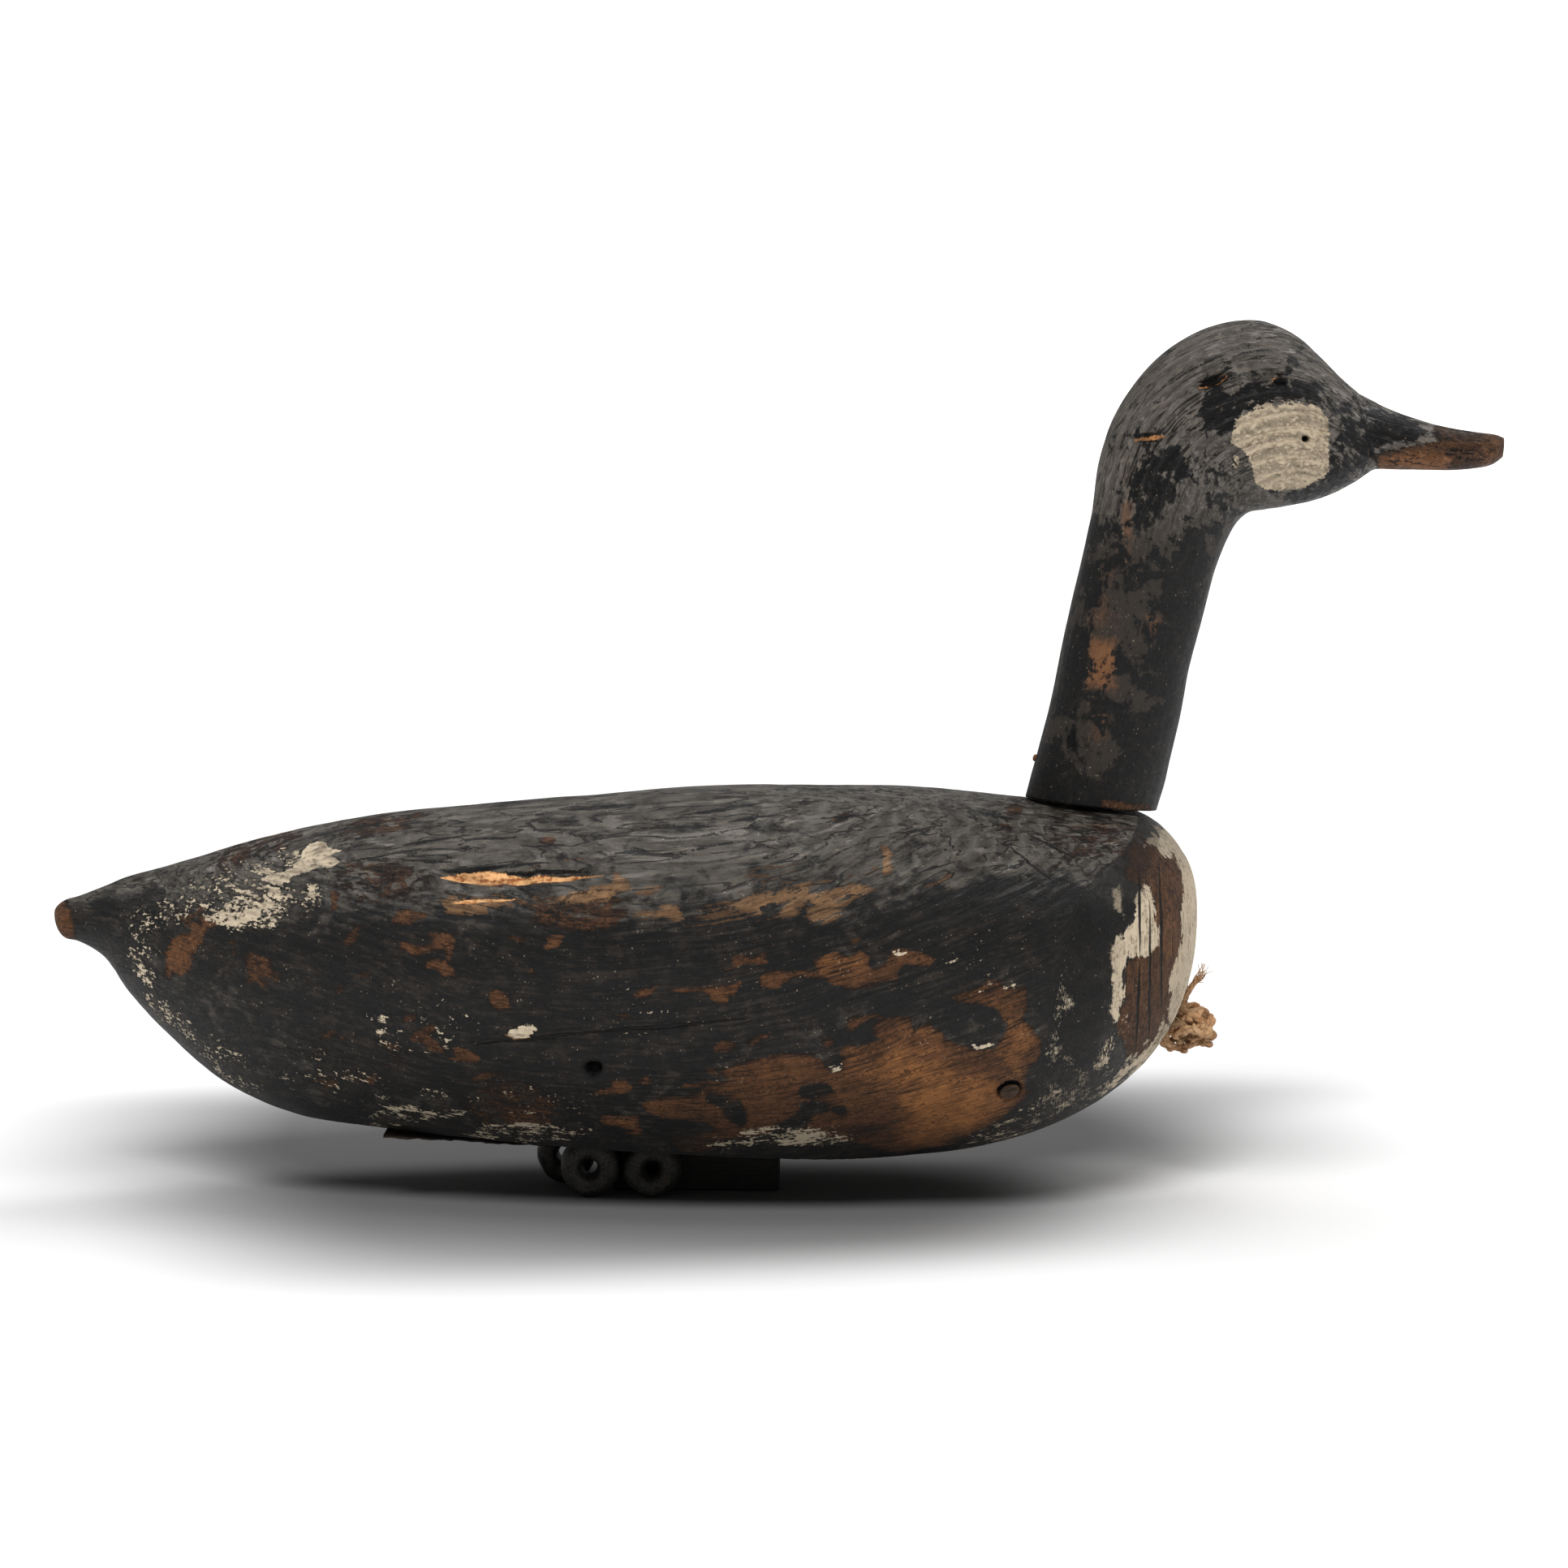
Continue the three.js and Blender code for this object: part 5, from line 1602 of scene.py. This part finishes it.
@dataclass
class Ballast:
    """Four pierced lead weights and the wooden block between and ahead of them."""

    hole: float = 7.5  # across a weight's hole
    dent: float = 0.5
    corner: float = 0.22  # exponent of the block's section; less is squarer

    def weight(self, number: int) -> bpy.types.Object:
        """Cast one weight.

        Its profile is a closed loop, a squashed ring section, turned about the hole, and then
        fitted to the height and to the flat against the block.

        Args:
            number: which weight.

        Returns:
            The piece.
        """
        node = f"ballast_weight_{number}"
        low, high = (np.array(corner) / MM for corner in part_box(node))
        middle, half = (low + high) / 2, (high - low) / 2
        outward = Side.NEAR.value if middle[1] < 0 else Side.FAR.value
        turn, loop = circle(72)[:, None], circle(48)[None]
        bore = self.hole / 2 / half[0]
        radius = (1 + bore) / 2 + (1 - bore) / 2 * signed_power(np.cos(loop), 0.75)
        dome = 1 - 0.25 * np.clip(radius - 0.55, 0, 1) ** 2
        deep = signed_power(np.sin(loop), 0.8) * dome
        lip = 0.06 * np.exp(-(((radius - bore - 0.12) / 0.1) ** 2))
        deep = deep + lip * np.sign(deep) + 0 * turn
        rings = np.stack([radius * np.cos(turn), deep, radius * np.sin(turn)], -1)
        rings = rings * (half[0], half[1] * 0.93, half[2]) + middle
        rough = noise(rings, 7, 50 + number, 4)
        outwards = rings - middle
        outwards = outwards / np.maximum(np.linalg.norm(outwards, axis=-1, keepdims=True), 1e-6)
        rings = rings + outwards * ((rough - 0.6) * self.dent)[..., None]
        rings[..., 1] += outward * 0.6
        return add_surface(f"lead_{number}", rings, node, wrap=True)

    def keel(self) -> bpy.types.Object:
        """Saw the keel block, with worn corners: a superellipse section along its length.

        Returns:
            The piece.
        """
        low, high = (np.array(corner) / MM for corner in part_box("keel_block"))
        share = np.linspace(0, 1, 120)[:, None]
        inset = 1.2 * (1 - np.sqrt(1 - np.clip(1 - np.minimum(share, 1 - share) / 0.02, 0, 1) ** 2))
        angle = circle(96)[None]
        y = ((high[1] - low[1]) / 2 - inset) * signed_power(np.cos(angle), self.corner)
        fall = (high[0] - low[0]) * share * math.tan(FLAT_TILT)
        tall = high[2] - low[2] - fall
        z = low[2] + tall / 2 + (tall / 2 - inset) * signed_power(np.sin(angle), self.corner)
        rings = np.stack([low[0] + (high[0] - low[0]) * share + 0 * y, y, z], -1)
        dents = 0.35 * (noise(rings, (30, 6, 6), 61, 4) - 0.9)
        rings = rings + normals_of(rings) * dents[..., None]
        rings[..., 2] = np.maximum(rings[..., 2], 0)
        return add_surface("keel", rings, "keel_block")

    def build(self) -> list[bpy.types.Object]:
        """Make all the pieces."""
        return [self.keel()] + [self.weight(number) for number in (1, 2, 3, 4)]


@dataclass
class Trimmings:
    """The strip under the bottom, the plug in the side and the nail in the nape."""

    plug_half: tuple[float, float] = (4.6, 3.1)
    plug_tilt: float = math.radians(20)
    plug_straight: float = 0.35  # share of its depth before the dome
    nail_profile: tuple[tuple[float, float], ...] = (  # radius, and share of the length from the point
        (0.2, 0),
        (0.7, 0.04),
        (0.75, 0.6),
        (0.75, 0.86),
        (1.7, 0.88),
        (1.75, 0.93),
        (1.3, 0.98),
        (0.4, 1),
    )

    def strip(self) -> bpy.types.Object:
        """Lay the ragged strip: a thin flat loop carried along the bottom's edge.

        Returns:
            The piece.
        """
        low, high = (np.array(corner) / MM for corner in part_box("bottom_strip"))
        x = np.linspace(low[0] + 0.5, high[0] - 0.5, 220)[:, None]
        place = np.concatenate([x, 0 * x, 0 * x], -1)
        rag = 1.6 * noise(place, 9, 71, 4) + 1.2 * noise(place, 2.5, 72, 2)
        thick = 1.5 + 0.5 * noise(place, 12, 73, 3)
        angle = circle(60)[None]
        edge = low[1] + 2.2 + rag[:, None]
        middle, half = (edge + high[1]) / 2, (high[1] - edge) / 2
        y = middle + half * signed_power(np.cos(angle), 0.3)
        drop = (x - low[0]) * math.tan(FLAT_TILT)
        curl = 0.5 * np.clip((edge + 9 - y) / 9, 0, 1) ** 2 * (0.5 + 0.5 * noise(place, 15, 74, 2)[:, None])
        under = thick[:, None] * (0.5 - 0.5 * signed_power(np.sin(angle), 0.4))
        rings = np.stack([x + 0 * y, y, high[2] - 1.4 - drop - under - curl], -1)
        return add_surface("ragged_strip", rings, "bottom_strip")

    def plug(self) -> bpy.types.Object:
        """Turn the oval plug, domed and cracked, a little askew in its pocket.

        Returns:
            The piece.
        """
        low, high = (np.array(corner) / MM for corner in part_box("side_plug"))
        middle = (low + high) / 2
        share = np.linspace(0, 1, 40)[:, None]
        wall = self.plug_straight
        radius = np.where(share < wall, 1.0, np.sqrt(np.clip(1 - ((share - wall) / 0.66) ** 2.2, 0, 1)))
        depth = np.where(share < wall, share / wall, 1 + wall * (share - wall) / 0.65)
        angle = circle(72)[None]
        half_long, half_high = self.plug_half
        a, b = half_long * radius * np.cos(angle), half_high * radius * np.sin(angle)
        c, s = math.cos(self.plug_tilt), math.sin(self.plug_tilt)
        x = middle[0] + a * c - b * s - 0.4
        z = middle[2] + a * s + b * c + 0.3
        y = high[1] - (high[1] - low[1]) * depth * 0.9 + 0 * a
        rings = np.stack([x, y, z], -1)
        crack = 0.4 * smooth_step(0.35 - np.abs(b - 0.4), 0, 0.3) * (depth > 1)
        rings[..., 1] += crack + 0.15 * noise(rings, 2.5, 81, 3)
        return add_surface("oval_plug", rings, "side_plug")

    def nail(self) -> bpy.types.Object:
        """Forge the nail: a radius that changes along its axis, out of the nape.

        Returns:
            The piece.
        """
        low, high = (np.array(corner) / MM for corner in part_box("neck_nail"))
        share, knots = np.linspace(0, 1, 60), np.linspace(0, 1, len(self.nail_profile))
        radius, length = (np.interp(share, knots, column) for column in np.array(self.nail_profile).T)
        tail = np.array([high[0] - 0.3, 0, low[2] + 0.75])
        head = np.array([low[0] + 0.3, 0, high[2] - 1.75])
        axis = (head - tail) / np.linalg.norm(head - tail)
        up = np.cross(axis, (0, 1, 0))
        angle = circle(32)[None, :, None]
        spoke = np.cos(angle) * up + np.sin(angle) * np.array((0, 1, 0))
        rings = (tail + (head - tail) * length[:, None])[:, None] + radius[:, None, None] * spoke
        return add_surface("nape_nail", rings, "neck_nail")

    def build(self) -> list[bpy.types.Object]:
        """Make all the pieces."""
        return [self.strip(), self.plug(), self.nail()]


@dataclass
class AnchorLine:
    """The knotted remnant of the anchor line on the breast, and its frayed end."""

    diameter: float = 3.4
    pitch: float = 9.5  # of one strand round the line
    turns: float = 4.96
    tumble: tuple[float, float] = (0.86, 0.87)  # half turns of the ball's own axis, about Z and about X
    ball_radii: tuple[float, float, float] = (13.2, 10.3, 11.9)
    fibres: int = 230
    loops: int = 92
    yarns: int = 30  # thick ones along the frayed end
    ball_steps: int = 120
    route_steps: int = 560
    root_steps: int = 40  # of the route, before the ball
    tip_steps: int = 60  # of the route, after the ball
    fibre_steps: int = 14
    fibre_sides: int = 8

    def route(self) -> np.ndarray:
        """Lay the line's middle: out of its hole, round and round as a ball, and up.

        The ball is wound on an egg: a point goes round a circle while the circle's own plane
        tumbles about X and then about Z, and the distance from the middle sways a little, so
        that the turns cross over and under each other.

        Returns:
            Points of the route.
        """
        low, high = (np.array(corner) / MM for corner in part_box("anchor_line_knot"))
        end_low, end_high = (np.array(corner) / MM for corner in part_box("anchor_line_tail"))
        middle = np.array([high[0] - 15.5, -7.0, (low[2] + high[2]) / 2])
        t = np.linspace(0, 1, self.ball_steps)
        turn = 2 * np.pi * self.turns * t + 0.17
        about_z, about_x = (np.pi * half_turns * t for half_turns in self.tumble)
        x, y, z = np.cos(turn), -np.sin(turn) * np.sin(about_x), np.sin(turn) * np.cos(about_x)
        c, s = np.cos(about_z), np.sin(about_z)
        ball = np.stack([x * c - y * s, x * s + y * c, z], -1)
        sway = 0.92 + 0.08 * np.sin(0.61 * turn + 1.0)
        ball = middle + ball * self.ball_radii * sway[:, None]
        hole = np.array([low[0] + 1.0, 0, middle[2] + 1.0])
        start = np.array([hole, hole + (5, 0, -0.5), hole + (10, -1.5, -2.0)])
        rise = np.array([0.25, 0.5, 0.8, 1.0])[:, None]
        foot, tip = ball[-1], np.array([end_low[0] + 8.0, -9.0, (end_low[2] + end_high[2]) / 2 + 3])
        top = foot + (tip - foot) * rise + np.array((0, -1, 0)) * 1.5 * np.sin(np.pi * rise)
        rough = np.vstack([start, ball[4::4], top])
        order = np.arange(len(rough))
        places = np.linspace(0, order[-1], self.route_steps)
        return np.stack([smooth_table(order, column)(places) for column in rough.T], -1)

    def build(self) -> bpy.types.Object:
        """Twist the line and fray its end.

        The section is round with three lobes that turn as it goes along, one pitch per turn, and
        it thins out at the free end.

        Returns:
            The line.
        """
        path = self.route()
        run = np.concatenate([[0], np.cumsum(np.linalg.norm(np.diff(path, axis=0), axis=1))])
        angle = circle(30)[None]
        lobe = np.abs(np.cos(1.5 * (angle + 2 * np.pi * run[:, None] / self.pitch)))
        thin = 1 - 0.3 * smooth_step(run, run[-1] - 14, run[-1])[:, None]
        radii = self.diameter / 2 * (0.8 + 0.24 * lobe**0.7) * thin
        rings = sweep(path, radii)
        radii = radii + 0.16 * noise(rings, 1.1, 91, 3)
        rings = sweep(path, radii)
        line = add_surface("anchor_line", rings, "anchor_line_knot")
        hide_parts("anchor_line_tail")
        # the grooves between the strands, for the painted shade there
        add_values(line, furrow=1 - lobe**0.6)
        fray = self.fray(path)
        log.info("anchor line: %.0f mm", run[-1])
        return line

    def fray(self, path: np.ndarray) -> bpy.types.Object:
        """Draw the loose fibres as one mesh of thin tapering tubes.

        Each starts on the line, leaves it along its direction and bends off by a random curve.
        The first few are thick yarns that bow out of the ball and come back to it.

        Args:
            path: the line's middle.

        Returns:
            The piece.
        """
        rng = np.random.default_rng(7)
        count, last = self.fibres, len(path)
        thick = np.arange(count) < self.loops
        yarn = (np.arange(count) >= self.loops) & (np.arange(count) < self.loops + self.yarns)
        at_end = ((rng.random(count) < 0.5) & ~thick) | yarn
        on_tip = rng.integers(last - self.tip_steps, last - 3, count)
        on_ball = rng.integers(self.root_steps, last - self.tip_steps, count)
        index = np.where(at_end, on_tip, on_ball)
        index = np.where(yarn, rng.integers(last - 75, last - 30, count), index)
        start = path[index]
        heading = path[np.minimum(index + 4, last - 1)] - path[index - 4]
        heading /= np.linalg.norm(heading, axis=1, keepdims=True)
        bend = rng.normal(size=(count, 3))
        bend /= np.linalg.norm(bend, axis=1, keepdims=True)
        length = np.where(at_end, rng.uniform(5, 13, count), rng.uniform(3, 8, count))
        t = np.linspace(0, 1, self.fibre_steps)[None, :, None]
        spread = np.where(at_end, 0.32, 1.0)[:, None, None]
        way = heading[:, None] * t + bend[:, None] * spread * t**1.4
        curve = start[:, None] + length[:, None, None] * way
        curl = rng.normal(size=(count, 3))[:, None] * np.sin(t * np.pi * 1.3) * 0.9
        curve = curve + curl
        middle = path[self.root_steps : -self.tip_steps].mean(axis=0)
        outward = start - middle
        outward /= np.linalg.norm(outward, axis=1, keepdims=True)
        across = np.cross(outward, bend)
        across /= np.linalg.norm(across, axis=1, keepdims=True)
        bow = rng.uniform(1.2, 3.2, count)[:, None, None]
        reach = rng.uniform(5, 10, count)[:, None, None]
        loop = start[:, None] + outward[:, None] * (bow * np.sin(np.pi * t) - 1.0 * t)
        loop = loop + across[:, None] * reach * (t - 0.5) + heading[:, None] * 1.5 * np.sin(2 * np.pi * t)
        inner = (np.arange(count) < self.loops // 2)[:, None, None]
        loop = np.where(inner, middle + (loop - middle) * 0.62, loop)
        curve = np.where(thick[:, None, None], loop, curve)
        root = rng.uniform(0.12, 0.28, count) + 0.14 * at_end + 0.6 * yarn
        radius = root[:, None] * (1 - 0.65 * t[..., 0])
        full = rng.uniform(1.05, 1.65, count)[:, None] * (0.55 + 0.45 * np.sin(np.pi * t[..., 0]))
        radius = np.where(thick[:, None], full, radius)
        angle = circle(self.fibre_sides)
        tangent = np.gradient(curve, axis=1)
        tangent /= np.linalg.norm(tangent, axis=-1, keepdims=True)
        side = np.cross(tangent, (0.31, 0.87, 0.38))
        side /= np.linalg.norm(side, axis=-1, keepdims=True)
        other = np.cross(tangent, side)
        spoke = np.cos(angle)[:, None] * side[:, :, None] + np.sin(angle)[:, None] * other[:, :, None]
        rings = curve[:, :, None] + radius[..., None, None] * spoke
        pieces = [tube_arrays(ring) for ring in rings]
        points = np.vstack([p for p, _ in pieces])
        offsets = np.cumsum([0] + [len(p) for p, _ in pieces[:-1]])
        faces = [
            tuple(int(v) + int(offset) for v in face)
            for (_, own), offset in zip(pieces, offsets)
            for face in own
        ]
        mesh = bpy.data.meshes.new("line_fray")
        mesh.from_pydata((points * MM).tolist(), [], faces)
        mesh.shade_smooth()
        piece = bpy.data.objects.new("line_fray", mesh)
        bpy.context.scene.collection.objects.link(piece)
        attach(piece, "root")
        # a random amount of painted shade for each loose fibre, for the shade among the loops
        values = np.repeat(rng.uniform(-0.2, 0.55, count), [len(p) for p, _ in pieces])
        mesh.attributes.new("furrow", "FLOAT", "POINT").data.foreach_set("value", values.astype(np.float32))
        log.info("line_fray: %d fibres", count)
        return piece


def tube_arrays(rings: np.ndarray) -> tuple[np.ndarray, list[tuple[int, ...]]]:
    """Work out a short tube whose ends are closed by one face each.

    Args:
        rings: points as (ring, place round it, xyz).

    Returns:
        Its points and faces.
    """
    count, sides = rings.shape[:2]
    i, j = np.meshgrid(np.arange(count - 1), np.arange(sides), indexing="ij")
    nxt = (j + 1) % sides
    quads = np.stack([i * sides + j, i * sides + nxt, (i + 1) * sides + nxt, (i + 1) * sides + j], -1)
    faces = [tuple(quad) for quad in quads.reshape(-1, 4).tolist()]
    faces.append(tuple(range(sides - 1, -1, -1)))
    faces.append(tuple(range((count - 1) * sides, count * sides)))
    return rings.reshape(-1, 3), faces


# ---- the room ----


@dataclass(frozen=True)
class Lamp:
    """A soft studio light that is far away."""

    name: str
    back: float  # degrees from straight above towards the far side; negative is towards the near one
    right: float  # degrees from straight above towards the breast
    strength: float
    spread: float  # degrees across, as seen from the floor
    mirrored: bool = True  # whether glossy paint mirrors it

    def build(self) -> None:
        """Hang the lamp, turned towards the middle of the floor."""
        sun = bpy.data.lights.new(self.name, "SUN")
        sun.energy, sun.angle = self.strength, math.radians(self.spread)
        lamp = bpy.data.objects.new(self.name, sun)
        source = Vector((math.tan(math.radians(self.right)), math.tan(math.radians(self.back)), 1.0))
        lamp.rotation_euler = (-source).to_track_quat("-Z", "Y").to_euler()
        bpy.context.scene.collection.objects.link(lamp)
        lamp.visible_glossy = self.mirrored


@dataclass(frozen=True)
class PaintedShadow:
    """A painted shadow on the floor's colour, as a turned square with round corners."""

    middle: tuple[float, float]
    half: tuple[float, float]
    turn: float  # radians
    soft: float  # share of the half side over which it fades
    depth: float
    corner: float  # 2 for an ellipse, more for a squarer shape

    def light(self, x: Value, y: Value) -> Value:
        """Give the share of the floor's colour that the painted shadow leaves.

        The distance from the middle is the corner-th root of the sum of both offsets over the
        half sides, each to the power of corner.

        Args:
            x, y: the place on the floor in millimetres.

        Returns:
            1 well outside, and 1 minus the depth inside.
        """
        dx, dy = x - self.middle[0], y - self.middle[1]
        along = (dx * math.cos(self.turn) + dy * math.sin(self.turn)) / self.half[0]
        across = (dy * math.cos(self.turn) - dx * math.sin(self.turn)) / self.half[1]
        far = along.distance().power(self.corner) + across.distance().power(self.corner)
        far = far.power(1 / self.corner)
        return 1.0 - far.step(1 + self.soft, 1 - self.soft) * self.depth


@dataclass(frozen=True)
class Studio:
    """A white floor under soft lights, with painted shade in its colour where little light reaches."""

    floor_side: float = 60.0
    lamps: tuple[Lamp, ...] = (
        Lamp("back_light", 28, 36, 1.0, 32),
        Lamp("top_light", 20, -4, 0.65, 30),
        Lamp("front_light", -46, -8, 2.35, 20, mirrored=False),
    )
    sky: float = 0.26  # its light
    sky_seen: float = 1.5  # its brightness to the camera
    # painted shade in the floor's colour, stronger where the floor is enclosed
    painted_shade_reach: float = 1.0  # metres within which a surface darkens the floor's colour as painted shade
    painted_shade_samples: int = 24
    painted_shade_power: float = 0.8
    darkest_painted_shade: float = 0.2  # least share of the paper's colour that the painted shade leaves anywhere
    paper: float = 0.98
    # painted shadows in the floor's colour around the decoy
    painted_shadows: tuple[PaintedShadow, ...] = (
        PaintedShadow((-73, -60), (187, 149), 0.233, 0.41, 0.55, 3.5),
        PaintedShadow((-48, 191), (286, 144), 0.074, 0.49, 0.9, 4.0),
    )

    def build(self) -> None:
        """Lay the floor, and light it."""
        half = self.floor_side / 2
        corners = [(-half, -half, 0), (half, -half, 0), (half, half, 0), (-half, half, 0)]
        mesh = bpy.data.meshes.new("floor")
        mesh.from_pydata(corners, [], [(0, 1, 2, 3)])
        floor = bpy.data.objects.new("floor", mesh)
        bpy.context.scene.collection.objects.link(floor)
        g = Graph("white_floor_painted_shade")
        samples, reach = {"samples": self.painted_shade_samples}, {"Distance": self.painted_shade_reach}
        # The floor's colour is painted darker as shade where it is enclosed, and in the painted shadows.
        painted_shade_factor = g.node("ShaderNodeAmbientOcclusion", samples, reach, "AO").power(self.painted_shade_power)
        x, y, _ = g.split(g.place())
        for shade in self.painted_shadows:
            painted_shade_factor = painted_shade_factor * shade.light(x, y)
        painted_shade_factor = g.math("MAXIMUM", painted_shade_factor, self.darkest_painted_shade)
        # the paper colour with the painted shade
        paper = g.mix(painted_shade_factor, (0.0, 0.0, 0.0), (self.paper,) * 3)
        floor.data.materials.append(g.finish(None, Base_Color=paper, Roughness=0.9, Specular_IOR_Level=0.0))
        for lamp in self.lamps:
            lamp.build()
        world = bpy.data.worlds.new("studio")
        world.use_nodes = True
        tree = world.node_tree
        tree.nodes.clear()
        ray = tree.nodes.new("ShaderNodeLightPath")
        seen, dim = tree.nodes.new("ShaderNodeBackground"), tree.nodes.new("ShaderNodeBackground")
        for node, strength in ((seen, self.sky_seen), (dim, self.sky)):
            node.inputs["Color"].default_value = (1, 1, 1, 1)
            node.inputs["Strength"].default_value = strength
        choice, out = tree.nodes.new("ShaderNodeMixShader"), tree.nodes.new("ShaderNodeOutputWorld")
        tree.links.new(ray.outputs["Is Camera Ray"], choice.inputs[0])
        tree.links.new(dim.outputs[0], choice.inputs[1])
        tree.links.new(seen.outputs[0], choice.inputs[2])
        tree.links.new(choice.outputs[0], out.inputs[0])
        bpy.context.scene.world = world
        bpy.context.scene.view_settings.view_transform = "Standard"


def dress(piece: bpy.types.Object, material: bpy.types.Material) -> None:
    """Give a piece its only material."""
    piece.data.materials.clear()
    piece.data.materials.append(material)


def main() -> None:
    """Load the frame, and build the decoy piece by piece."""
    logging.basicConfig(level=logging.INFO, format="%(name)s %(message)s")
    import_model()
    view = Viewpoint()
    view.set_up()
    line = AnchorLine().build()
    hemp = Hemp().material()
    dress(line, hemp)
    dress(bpy.data.objects["line_fray"], hemp)
    body_paint = WornPaint("body_paint", splits=BODY_SPLITS, cracks=BODY_CRACKS, hole_shades=BODY_HOLE_SHADES)
    head_paint = WornPaint(
        "head_paint",
        thin_dark=paint_colour(34, 28, 23),
        black=paint_colour(8, 8, 8),
        scuffed=paint_colour(28, 23, 19),
        # pale head paint, also painted sheen on the head's top
        thin_pale_and_sheen=paint_colour(150, 142, 132),
        white=paint_colour(184, 168, 144),
        white_dirt=paint_colour(136, 120, 100),
        fresh_dark=paint_colour(104, 66, 38),
        fresh_light=paint_colour(184, 130, 82),
        wood_mid=paint_colour(86, 58, 38),
        wood_light=paint_colour(124, 82, 50),
        ring=6.0,
        ring_wear_and_glint=0.2,
        along=0.45,
        contrast=0.5,
        softness=0.07,
        relief=0.6,
        scuff=0.0,
        splits=HEAD_SPLITS,
        cracks=HEAD_CRACKS,
        hole_shades=HEAD_HOLE_SHADES,
    )
    dress(Body().build(view), body_paint.material())
    dress(HeadAndNeck().build(view), head_paint.material())
    wood = OldWood().material()
    lead = OldMetal(
        "lead",
        skin=paint_colour(20, 20, 18),
        bloom=paint_colour(74, 72, 65),
        rust=paint_colour(84, 58, 38),
        rust_share=0.34,
    ).material()
    keel, *weights = Ballast().build()
    # The keel's wood is painted near-black as painted shade, so it merges with the shadow under the body.
    dress(keel, OldWood("keel_wood_painted_shade", paint_colour(18, 16, 14), paint_colour(34, 30, 26)).material())
    for weight in weights:
        dress(weight, lead)
    strip, plug, nail = Trimmings().build()
    dress(strip, OldWood("tarred_strip", paint_colour(18, 14, 11), paint_colour(52, 40, 30)).material())
    dress(plug, wood)
    iron = OldMetal(
        "iron",
        skin=paint_colour(52, 46, 42),
        bloom=paint_colour(120, 104, 88),
        rust=paint_colour(110, 66, 38),
        rust_share=0.5,
    ).material()
    dress(nail, iron)
    Studio().build()
    log.info("done")


if __name__ == "__main__":
    main()
